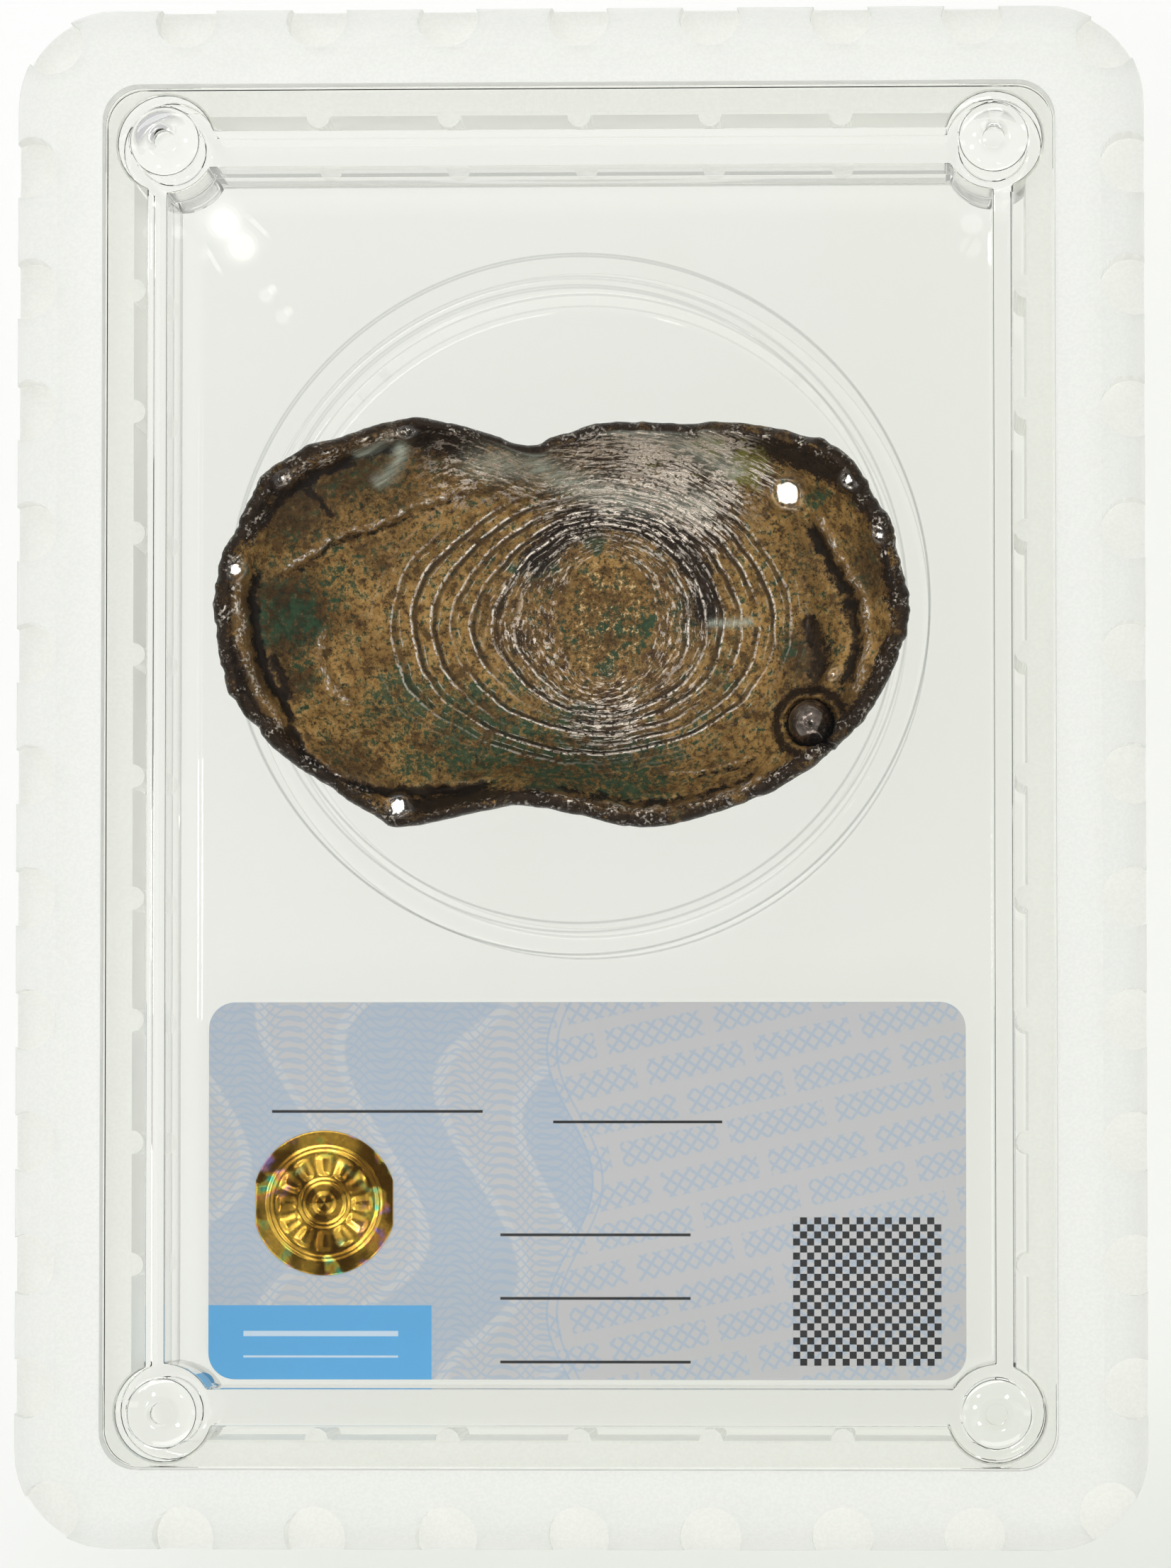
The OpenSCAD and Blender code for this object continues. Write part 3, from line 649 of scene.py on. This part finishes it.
def ingot_form():
    """The ingot's points, ring by ring from the pool's middle to the foot's, and what its material reads."""
    rim, rim_z = ingot_rim()
    x, y, z, s = pool_rings(rim, rim_z)
    marks = {}
    z = add_ripples(x, y, z, s, marks)
    z = add_folds(x, y, z, marks)
    z = z + SWELL * uneven(x, y, 0.3, 0, 21) * smooth(0.5, 0.85, s) + DIMPLES * uneven(x, y, 1.1, 0, 22)
    z = add_cup(x, y, z, marks)
    z = np.minimum(add_glints(x, y, z, marks), INGOT_H)
    lip = lip_rings(rim, (x[-1], y[-1], z[-1]))
    belly = belly_rings(rim, lip[2][-1])
    rings = [np.stack(part, -1).reshape(-1, 3) for part in ((x, y, z), lip, belly)]
    points = np.concatenate([[[POOL_X, 0, POOL_T]], *rings, [[0, 0, 0]]])

    near_rim = smooth(0.94, 1, s) * (0.9 + 1.2 * uneven(x, y, 0.5, 0, 41))
    near_rim = np.maximum(near_rim, 0.9 * marks.pop("collar"))
    marks["umber"] = np.clip(np.maximum(streaks(x, y, UMBER_STREAKS), near_rim), 0, 1)
    marks["silk"] = np.maximum(SILK_SHARE * within(SILK_ZONE, marks["level"]), stains(x, y, SPARKLES))
    marks["depth"] = s + 0.02 * uneven(x, y, 0.4, 70, 13)
    marks["upper"] = within(UPPER_ZONE, x) * (y > 0) * within((0.66, 0.78, 0.95, 1), s)
    marks["rim"] = smooth(0.965, 0.985, s) + 0 * x
    marks["green"] = np.clip(stains(x, y, GREEN_STAINS), GREEN_LEAST, GREEN_MOST)
    marks["tone_and_painted_shade"] = stains(x, y, TONE_AND_SHADE_PATCHES)
    marks["moss"] = stains(x, y, MOSS_STAINS)
    marks["pale_and_reflection"] = streaks(x, y, PALE_AND_REFLECTION_STREAKS)

    # Outside, the lip and the belly have even marks, apart from worn umber
    outside = points[1 + x.size:]
    worn = noise(outside[:, 0] * 0.5, outside[:, 1] * 0.5 + outside[:, 2] * 0.4, 42)
    even = {"level": 0.5, "pitch": 1, "depth": 1, "umber": 0.4 + worn, "rim": 0.5, "green": 0.3, "tone_and_painted_shade": 0.4}
    whole = {}
    for name, values in marks.items():
        below = even.get(name, 0) + np.zeros(len(outside))
        whole[name] = np.concatenate([[values[0, 0]], values.ravel(), below])
    return points + INGOT_AT, whole


def ring_faces(rings, around):
    """Faces between rings of points, from a point in the middle to a last point, with fans at both ends."""
    def spot(k, i):
        return 1 + k * around + i % around
    last = 1 + rings * around
    faces = [(0, spot(0, i), spot(0, i + 1)) for i in range(around)]
    for k in range(rings - 1):
        faces += [(spot(k, i), spot(k + 1, i), spot(k + 1, i + 1), spot(k, i + 1)) for i in range(around)]
    faces += [(last, spot(rings - 1, i + 1), spot(rings - 1, i)) for i in range(around)]
    return faces


def pool_streaks(n, where, level):
    """Random streaks that run round the pool's middle."""
    centre = tuple(float(value) for value in (*(INGOT_AT[:2] + RIPPLE_AT), 0))
    way = n.add("VectorMath", {0: where, 1: centre}, operation="SUBTRACT").outputs[0]
    way = n.add("VectorMath", {0: way, 1: (1.0, 1.0, 0.0)}, operation="MULTIPLY").outputs[0]
    way = n.add("VectorMath", {0: way}, operation="NORMALIZE").outputs[0]
    way_x, way_y, _ = n.axes(way)
    along = n.add("CombineXYZ", {0: n.times(way_x, 6.0), 1: n.times(way_y, 6.0), 2: n.times(level, 4.5)})
    return n.noise(along.outputs[0], 1.0, 5, 0.75)


def rim_strokes(n, where):
    """Random strokes that run along the upper rim."""
    x, y, _ = n.axes(where)
    depth = n.times(n.value("depth"), 45.0)
    along = n.add("CombineXYZ", {0: n.times(x, 1.1), 1: n.times(y, 0.4), 2: depth})
    return n.noise(along.outputs[0], 1.0, 5, 0.75)


def toned_silver():
    """Old silver: ochre and brown toning, green stains, black creases and bright worn crests, with painted
    shade, shadow lines, highlights and a reflection.
    """
    n = material("toned_silver")
    where = n.place()
    cloud = n.noise(where, 0.35, 3, 0.55)
    blotch = n.noise(where, 1.2, 6, 0.7)
    speck = n.noise(where, 3.2, 8, 0.8)
    fleck = n.noise(where, 1.8, 8, 0.85, 0.4)
    grain = n.noise(where, 4.5, 2, 0.5)
    level, pitch, ripple = n.value("level"), n.value("pitch"), n.value("ripple")
    sparkle, upper, shine, gloss = n.value("silk"), n.value("upper"), n.value("shine"), n.value("gloss")
    streak = pool_streaks(n, where, level)
    brush = rim_strokes(n, where)

    def mottled(mark, coarse, fine, low, high):
        """A mark whose edge is broken up by blotches and specks."""
        total = n.math("ADD", n.value(mark), n.times(n.math("SUBTRACT", blotch, 0.5), coarse))
        return n.band(n.math("ADD", total, n.times(n.math("SUBTRACT", speck, 0.5), fine)), low, high)

    def lines(shift, width):
        """Thin lines along the ripples, moved out by a share of their pitch."""
        height = n.math("ADD", level, shift)
        return n.band(n.times(n.math("PINGPONG", height, 0.5), pitch), 1.6 * width, 0.4 * width)

    # The toning, with painted shade, shadows, highlights and a reflection, each layer over the ones before,
    # as (share, colour)
    core = n.blend(n.band(level, -2.2, -3.0), 0.12, 0.9)
    green = n.mix(n.band(blotch, 0.42, 0.6), TONES["deep green"], TONES["green"])
    umber = mottled("umber", 1.4, 1.4, 0.45, 0.8)
    black = n.mix(n.band(speck, 0.42, 0.6), TONES["black"], TONES["umber"])
    crease = mottled("dark", 1.7, 1.7, 0.25, 0.8)
    layers = [
        (n.times(n.band(blotch, 0.52, 0.64), 0.8), TONES["straw"]),
        (n.times(n.band(blotch, 0.49, 0.39), 0.85), TONES["brown"]),
        # Darker brown patches: partly toning, partly painted shade
        (n.times(mottled("tone_and_painted_shade", 2.0, 1.6, 0.12, 0.75), 0.85), TONES["tone_and_painted_shade"]),
        (n.times(n.band(speck, 0.535, 0.575), 0.9), TONES["specks"]),
        (n.times(n.band(fleck, 0.555, 0.6), 0.85), TONES["flecks"]),
        (n.times(core, n.band(speck, 0.46, 0.41), n.band(blotch, 0.46, 0.54)), TONES["worn"]),
        (n.times(mottled("green", 2.6, 2.6, 0.4, 0.85), 0.9), green),
        (n.times(n.band(sparkle, 0.0, 0.6), n.band(streak, 0.57, 0.47), 0.85), TONES["silk gaps"]),
        (n.times(upper, n.band(brush, 0.52, 0.44), 0.8), TONES["strokes"]),
        (n.times(umber, 0.95), black),
        (n.times(mottled("moss", 1.4, 1.2, 0.42, 0.7), 0.9), TONES["moss"]),
        (n.times(crease, 0.95), TONES["crease"]),
        # Painted shadow: a dark line on the inner side of each ripple's crest
        (n.times(lines(0.2, 0.14), ripple, n.band(blotch, 0.34, 0.48), 0.85), TONES["shadow"]),
        # Pale streaks, partly a painted reflection
        (n.times(n.value("pale_and_reflection"), n.blend(n.band(streak, 0.42, 0.6), 0.36, 0.85)), TONES["pale_and_reflection"]),
        # Painted highlight: lighter copper on the folds' crests
        (n.times(shine, n.band(speck, 0.42, 0.6), 0.8), TONES["fold"]),
    ]
    tone = n.mix(n.band(cloud, 0.35, 0.65), TONES["ochre"], TONES["tan"])
    for share, over in layers:
        tone = n.mix(share, tone, over)

    # Bright metal on the ripples' crests, in the streaks, on the rim and on the folds
    jitter = n.times(n.math("SUBTRACT", grain, 0.5), 0.12)
    second = n.times(lines(n.math("ADD", jitter, 0.42), 0.03), n.band(blotch, 0.48, 0.56))
    crest = n.times(n.most(lines(jitter, 0.065), second), ripple, n.band(grain, 0.37, 0.52),
                    n.band(blotch, 0.36, 0.47))
    thick = n.math("ADD", streak, n.times(sparkle, 0.13))
    silk = n.times(n.band(sparkle, 0.0, 0.5), n.band(thick, 0.58, 0.65), n.band(grain, 0.34, 0.48))
    brushed = n.times(upper, n.band(brush, 0.5, 0.58), n.band(grain, 0.36, 0.5))
    edge = n.times(n.value("rim"), n.band(blotch, 0.5, 0.6), n.band(grain, 0.5, 0.62))
    folded = n.times(n.band(shine, 0.2, 0.5), n.band(grain, 0.46, 0.58), n.band(blotch, 0.44, 0.54))
    bare = n.most(crest, silk, brushed, edge, folded)

    height = n.math("ADD", n.times(grain, 0.6), n.times(n.most(crest, edge, folded), 0.5))
    height = n.math("ADD", height, n.times(n.math("ADD", blotch, speck), 0.4))
    rows = n.most(n.times(streak, sparkle), n.times(brush, upper))
    height = n.math("ADD", height, n.times(rows, 0.9))
    dark = n.most(umber, crease)
    return n.surface(n.principled(
        Base_Color=n.mix(bare, tone, TONES["bare"]), Metallic=n.blend(bare, n.blend(dark, 0.3, 0.5), 0.85),
        Roughness=n.blend(bare, n.blend(dark, 0.36, 0.24), 0.22),
        Normal=n.bump(height, n.blend(gloss, 1.0, 0.05), 0.08),
        Specular_IOR_Level=0.14, Coat_Weight=gloss, Coat_Roughness=0.04, Coat_IOR=1.8))


def bead_silver():
    """The bead: smooth dark-toned silver with a soft gloss."""
    n = material("bead_silver")
    where = n.place()
    cloud = n.noise(where, 1.1, 4, 0.6)
    grit = n.noise(where, 8, 3, 0.6)
    colour = n.mix(n.band(cloud, 0.35, 0.65), *BEAD_TONES)
    rough = n.blend(n.band(grit, 0.4, 0.6), 0.07, 0.16)
    bump = n.bump(grit, 0.12, 0.05)
    return n.surface(n.principled(Base_Color=colour, Metallic=0.95, Roughness=rough, Normal=bump))


def clear_plastic():
    """Clear acrylic with a trace of warm green, with grey shade painted where the seat ring's walls stand."""
    n = material("clear_plastic")
    where = n.place((*RING_AT, 0))
    tint = n.noise(where, 0.15, 2, 0.5)
    colour = n.mix(n.band(tint, 0.35, 0.65), *CLEAR_TONES)
    x, y, z = n.axes(where)
    far = n.math("SQRT", n.math("ADD", n.times(x, x), n.times(y, y)))
    standing = n.band(z, RING_FOOT + 0.02, RING_FOOT + 0.1)
    # Painted shade: thin grey lines round the seat ring's walls, standing for their dark edges
    for radius, share in PAINTED_RING_LINES:
        line = n.band(n.math("ABSOLUTE", n.math("SUBTRACT", far, radius)), 0.09, 0.03)
        colour = n.mix(n.times(line, standing, share), colour, PAINTED_RING_SHADE)
    return n.surface(n.principled(Base_Color=colour, Roughness=0.0, IOR=1.49, Transmission_Weight=1.0))


def frosted_plastic():
    """Sand-blasted clear plastic, which throws only a faint shadow."""
    n = material("frosted_plastic")
    where = n.place()
    grain = n.noise(where, 6, 3, 0.6)
    colour = n.mix(n.band(grain, 0.4, 0.6), *FROST_TONES)
    rough = n.blend(n.band(grain, 0.35, 0.65), 0.38, 0.5)
    body = n.principled(Base_Color=colour, Roughness=rough, IOR=1.46, Transmission_Weight=0.45,
                        Normal=n.bump(grain, 0.3, 0.05))
    passing = n.times(n.add("LightPath").outputs["Is Shadow Ray"], 0.85)
    clear = n.add("BsdfTransparent").outputs[0]
    return n.surface(n.add("MixShader", {0: passing, 1: body, 2: clear}).outputs[0])


def printed_card():
    """Pale card with a fine engraved pattern, a blue band, blank rules and a plain chequered square."""
    n = material("printed_card")
    where = n.place(LABEL_LOW)
    u, v, _ = n.axes(where)

    def line_of(value, pitch, width):
        """Thin lines where a length passes each multiple of the pitch."""
        return n.band(n.math("PINGPONG", value, pitch / 2), width / 2 + 0.05, width / 2 - 0.03)

    def between(value, low, high):
        return n.times(n.band(value, low - 0.02, low + 0.02), n.band(value, high + 0.02, high - 0.02))

    def wave(value, along, reach, turns):
        return n.math("ADD", value, n.times(n.math("SINE", n.times(along, turns)), reach))

    # Left panel: fine waves that cross into a mesh, over broad curling bands
    rising, falling = (n.math(sign, v, n.times(u, 0.5)) for sign in ("ADD", "SUBTRACT"))
    mesh = n.most(line_of(wave(rising, u, 0.3, 2.1), MESH_PITCH, MESH_LINE),
                  line_of(wave(falling, u, 0.3, 2.6), MESH_PITCH, MESH_LINE))
    sway = wave(n.times(u, 0.62), n.math("ADD", v, n.times(u, 0.4)), 1.5, 0.36)
    ribbon = n.math("SINE", sway)
    wash = n.band(ribbon, 0.0, 0.08)
    outline = n.times(n.band(ribbon, -0.42, -0.36), n.band(ribbon, 0.02, -0.04))
    bend = wave(u, v, 1.3, 0.42)
    left = n.band(bend, PANEL_W + 0.03, PANEL_W - 0.03)
    right = n.math("SUBTRACT", 1.0, left)
    # Right panel: slanting rows of small lattice strips with gaps
    row = n.math("SUBTRACT", n.times(v, ROW_COSINE), n.times(u, ROW_SINE))
    run = n.math("ADD", n.times(u, ROW_COSINE), n.times(v, ROW_SINE))
    lattice = n.most(line_of(n.math("ADD", run, row), LATTICE_PITCH, LATTICE_LINE),
                     line_of(n.math("SUBTRACT", run, row), LATTICE_PITCH, LATTICE_LINE))
    strip = n.band(n.math("PINGPONG", row, ROW_PITCH / 2), 0.32, 0.38)
    shift = n.times(n.math("FLOOR", n.times(row, 1 / ROW_PITCH)), ROW_SHIFT)
    gaps = n.band(n.math("PINGPONG", n.math("ADD", run, shift), STRIP_LENGTH / 2), 0.3, 0.36)
    lattice = n.times(lattice, strip, gaps)
    outer = PANEL_W + BORDER_GAP
    border = n.most(between(bend, PANEL_W - BORDER_W, PANEL_W), between(bend, outer, outer + BORDER_W))

    band = n.times(n.band(u, BAND_W + 0.02, BAND_W - 0.02), n.band(v, BAND_H + 0.02, BAND_H - 0.02))
    layers = [
        (n.times(left, wash, 0.4), "blue"), (n.times(left, outline, 0.55), "pale"),
        (n.times(left, mesh, 0.55), "blue"), (n.times(right, lattice, 0.6), "blue"),
        (n.times(border, 0.6), "blue"), (band, "band"),
    ]
    for start, end, height, thick in BAND_RULES:
        rule = n.times(between(u, start, end), between(v, height - thick / 2, height + thick / 2))
        layers.append((n.times(rule, 0.85), "band rule"))
    for start, end, height in RULES:
        rule = n.times(between(u, start, end), between(v, height - RULE_W / 2, height + RULE_W / 2))
        layers.append((rule, "black"))
    cell = GRID_SIZE / GRID_CELLS
    grid_u, grid_v = (n.math("SUBTRACT", value, start) for value, start in zip((u, v), GRID_AT))
    column, line = (n.math("FLOOR", n.times(value, 1 / cell)) for value in (grid_u, grid_v))
    checks = n.math("PINGPONG", n.math("ADD", column, line), 1.0)
    square = n.times(between(grid_u, 0.0, GRID_SIZE), between(grid_v, 0.0, GRID_SIZE))
    layers.append((n.times(checks, square), "black"))
    colour = INKS["grey"]
    for share, ink in layers:
        colour = n.mix(share, colour, INKS[ink])
    fibre = n.noise(where, 7, 3, 0.6)
    rough = n.blend(n.band(fibre, 0.4, 0.6), 0.38, 0.48)
    return n.surface(n.principled(Base_Color=colour, Roughness=rough, Normal=n.bump(fibre, 0.08, 0.02)))


def gold_foil():
    """Embossed gold foil with dark and bright sectors of painted sheen, and rainbow flecks of painted sheen
    towards its edge.
    """
    n = material("gold_foil")
    where = n.place((SEAL_LOW + SEAL_HIGH) / 2)
    x, y, _ = n.axes(where)
    # Painted sheen: dark and bright gold sectors round the seal's middle
    sheen_sweep = n.math("ADD", n.times(n.math("ARCTAN2", y, x), 3.0), n.times(n.noise(where, 0.35, 2, 0.5), 6.0))
    colour = n.mix(n.band(n.math("SINE", sheen_sweep), -0.6, 0.9), FOIL_PAINTED_SHADE, FOIL_PAINTED_SHEEN)
    # Painted sheen: rainbow flecks towards the edge
    flecks = n.add("ValToRGB", {0: n.noise(where, 0.8, 2, 0.5)})
    ramp = flecks.color_ramp
    while len(ramp.elements) < len(FOIL_RAINBOW_SHEEN):
        ramp.elements.new(0.5)
    for element, (at, tint) in zip(ramp.elements, FOIL_RAINBOW_SHEEN):
        element.position = at
        element.color = (*tint, 1)
    far = n.add("VectorMath", {0: where}, operation="LENGTH").outputs["Value"]
    shown = n.times(n.band(n.noise(where, 0.55, 1, 0.5), 0.47, 0.56), n.band(far, 2.0, 3.0), 0.95)
    colour = n.mix(shown, colour, flecks.outputs[0])
    grain = n.noise(where, 6, 2, 0.5)
    rough = n.blend(n.band(grain, 0.4, 0.6), 0.13, 0.2)
    bump = n.bump(grain, 0.05, 0.01)
    return n.surface(n.principled(Base_Color=colour, Metallic=0.9, Roughness=rough, Normal=bump))


def floor_white():
    """White paper that the eye sees lit nearly evenly, with painted shade a little darker on the right and
    near sides and painted light on the far side.
    """
    n = material("floor_white")
    x, y, _ = n.axes(n.place())
    near = n.times(n.band(n.math("ABSOLUTE", x), 160.0, 60.0), n.band(n.math("ABSOLUTE", y), 180.0, 80.0))
    # Painted falloff of the light: darker to the right and the near side, brighter to the far side
    colour = n.mix(n.times(n.band(x, -50.0, 50.0), near), PAPER_AND_PAINTED_FALLOFF["white"], PAPER_AND_PAINTED_FALLOFF["right"])
    colour = n.mix(n.times(n.band(y, 20.0, 60.0), near), colour, PAPER_AND_PAINTED_FALLOFF["far"])
    low = n.times(n.band(y, -25.0, -50.0), n.band(x, -50.0, -10.0), near)
    colour = n.mix(low, colour, PAPER_AND_PAINTED_FALLOFF["near"])
    path = n.add("LightPath").outputs
    mirrored = n.most(path["Is Transmission Ray"], path["Is Glossy Ray"])
    seen = n.most(n.times(path["Is Camera Ray"], FLOOR_SEEN), n.times(mirrored, FLOOR_MIRRORED))
    paper = n.principled(Base_Color=colour, Roughness=0.9)
    glow = n.add("Emission", {"Color": colour, "Strength": 1.0}).outputs[0]
    return n.surface(n.add("MixShader", {0: seen, 1: paper, 2: glow}).outputs[0])


def make_ingot():
    """The casting, with the marks that its material reads."""
    points, marks = ingot_form()
    faces = ring_faces(POOL_RINGS + LIP_RINGS + BELLY_RINGS, AROUND)
    ingot = mesh_piece("ingot_casting", points, faces, "ingot", toned_silver())
    for name, values in marks.items():
        paint(ingot, name, values)
    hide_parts("sycee_ingot")


def make_bead():
    """A slightly lumpy ball."""
    shape = bmesh.new()
    bmesh.ops.create_icosphere(shape, subdivisions=5, radius=BEAD_R)
    points = np.array([v.co for v in shape.verts])
    faces = [[v.index for v in face.verts] for face in shape.faces]
    shape.free()
    lumps = noise(points[:, 0] * 0.8 + 20, points[:, 1] * 0.8 + points[:, 2] * 0.5 + 20, 51, 3) - 0.5
    points = points * (BEAD_FULL + BEAD_LUMPS * lumps)[:, None] * BEAD_STRETCH + BEAD_AT + INGOT_AT
    bead = mesh_piece("bead_drop", points, faces, "ingot", bead_silver())
    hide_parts("silver_bead")


def make_seal():
    """A foil disc with two flats, raised rings and a ring of rays."""
    middle = (SEAL_LOW + SEAL_HIGH) / 2
    half_w, radius = (SEAL_HIGH - SEAL_LOW)[:2] / 2
    turn = np.linspace(0, 2 * math.pi, SEAL_AROUND, endpoint=False)
    reach = np.minimum(radius, half_w / np.maximum(np.abs(np.cos(turn)), 1e-6))
    far = (np.arange(1, SEAL_RINGS + 1) / SEAL_RINGS)[:, None] * reach
    rise = SEAL_RISE * (0.5 + 0.5 * np.cos(SEAL_RAYS * turn)) * within(SEAL_RAY_ZONE, far)
    for zone in SEAL_RING_ZONES:
        rise = rise + SEAL_RISE * within(zone, far)
    rise = rise + SEAL_BOSS * (1 - smooth(0.45, 0.7, far))
    top = SEAL_HIGH[2] - SEAL_RISE + rise
    x, y = middle[0] + far * np.cos(turn), middle[1] + far * np.sin(turn)
    points = np.concatenate([
        [[middle[0], middle[1], SEAL_HIGH[2] - SEAL_RISE + SEAL_BOSS]],
        np.stack([x, y, top], -1).reshape(-1, 3),
        np.stack([x[-1], y[-1], np.full(SEAL_AROUND, SEAL_LOW[2])], -1),
        [[middle[0], middle[1], SEAL_LOW[2]]],
    ])
    faces = ring_faces(SEAL_RINGS + 1, SEAL_AROUND)
    seal = mesh_piece("seal_foil", points, faces, "holder", gold_foil())
    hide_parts("seal_disc")


def dress(node, look, bevel, shrink=0.0):
    """Gives a CAD solid its material, softened edges and a hair's gap to what it touches."""
    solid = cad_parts[node]
    solid.data.materials.clear()
    solid.data.materials.append(look)
    weld = solid.modifiers.new("weld", "WELD")
    weld.merge_threshold = SAME_POINT * MM
    if shrink:
        gap = solid.modifiers.new("gap", "DISPLACE")
        gap.mid_level = 0
        gap.strength = -shrink * MM
    edges = solid.modifiers.new("edges", "BEVEL")
    edges.width = bevel * MM
    edges.segments = EDGE_STEPS
    edges.limit_method = "ANGLE"
    edges.angle_limit = math.radians(EDGE_TURN)
    solid.modifiers.new("shading", "WEIGHTED_NORMAL").keep_sharp = True
    return solid


def let_light_through(solid):
    """Lamps and bounced light pass a clear piece; the eye still sees it bend what lies behind."""
    solid.visible_shadow = False
    solid.visible_diffuse = False


def make_stage():
    """The floor that the holder lies on."""
    mesh = bpy.data.meshes.new("floor")
    half = FLOOR_HALF * MM
    corners = [(-half, -half, 0), (half, -half, 0), (half, half, 0), (-half, half, 0)]
    mesh.from_pydata(corners, [], [(0, 1, 2, 3)])
    floor = bpy.data.objects.new("floor", mesh)
    bpy.context.scene.collection.objects.link(floor)
    mesh.materials.append(floor_white())


def make_world():
    """A light tent, white all round with dimmer gaps low down.

    Straight above it is dark, where the camera looks in, but light that has turned twice inside the clear
    pieces doesn't meet that hole.
    """
    n = Nodes(bpy.data.worlds.new("studio"), "OutputWorld")
    x, y, up = n.axes(n.add("TexCoord").outputs["Generated"])
    panels = n.band(n.math("SINE", n.times(n.math("ARCTAN2", y, x), 5.0)), -0.3, 0.3)
    low = n.blend(panels, TENT_LOW, TENT_LOW_GAPS)
    strength = n.blend(n.band(up, 0.15, 0.5), low, TENT)
    inside = n.band(n.add("LightPath").outputs["Glossy Depth"], 1.4, 1.6)
    strength = n.blend(n.band(up, 0.965, 0.988), strength, n.blend(inside, ZENITH, TENT))
    background = n.add("Background", {"Color": TENT_TINT, "Strength": strength})
    bpy.context.scene.world = n.surface(background.outputs[0])


def area_light(name, at, aim, size, power):
    """A round lamp, or an oblong one if the size has two lengths, in millimetres and watts."""
    lamp = bpy.data.lights.new(name, "AREA")
    if isinstance(size, tuple):
        lamp.shape = "RECTANGLE"
        lamp.size, lamp.size_y = size[0] * MM, size[1] * MM
    else:
        lamp.shape = "DISK"
        lamp.size = size * MM
    lamp.energy = power
    holder = bpy.data.objects.new(name, lamp)
    bpy.context.scene.collection.objects.link(holder)
    holder.location = Vector(at) * MM
    holder.rotation_euler = (Vector(aim) - Vector(at)).to_track_quat("-Z", "Y").to_euler()


def make_lights():
    """The long lamps, the small ones that make glints, and the ones that the cover mirrors."""
    for name, at, aim, size, power in LONG_LAMPS:
        area_light(name, at, aim, size, power)
    for n, at in enumerate(SMALL_LAMPS):
        area_light("glint_%d" % n, at, LAMP_AIM, LAMP_SIZE, LAMP_POWER)
    # The soft spot that shows in the front cover and smaller ones round it, each a millimetre above the last
    for n, (across, up, size, power) in enumerate(WINDOW_LAMPS):
        at = (WINDOW_AT[0] + across, WINDOW_AT[1] + up, WINDOW_AT[2] + n)
        area_light("window_%d" % n, at, LAMP_AIM, size, power)


def make_camera():
    """The camera, level with the holder's sides, at the photograph's scale."""
    camera = bpy.data.cameras.new("camera")
    camera.sensor_fit = "VERTICAL"
    camera.sensor_height = SENSOR_H
    camera.clip_start = CAMERA_NEAREST * MM
    camera.lens = SENSOR_H * CAMERA_FAR / (IMAGE_H / PIXELS_PER_MM)
    holder = bpy.data.objects.new("camera", camera)
    bpy.context.scene.collection.objects.link(holder)
    holder.location, aim = camera_place()
    away = (holder.location - aim).normalized()
    right = Vector((0, 1, 0)).cross(away).normalized()
    holder.rotation_euler = Matrix((right, away.cross(right), away)).transposed().to_euler()
    bpy.context.scene.camera = holder


make_camera()
make_ingot()
make_bead()
make_seal()
clear = clear_plastic()
for name in ("front_cover", "back_cover", "corner_pins"):
    let_light_through(dress(name, clear, CLEAR_EDGE, CLEAR_GAP))
dress("edge_frame", frosted_plastic(), FRAME_EDGE)
dress("label_card", printed_card(), CARD_EDGE)
make_stage()
make_world()
make_lights()

scene = bpy.context.scene
scene.view_settings.view_transform = "Standard"
scene.cycles.max_bounces = BOUNCES
scene.cycles.transmission_bounces = BOUNCES
scene.cycles.blur_glossy = 0
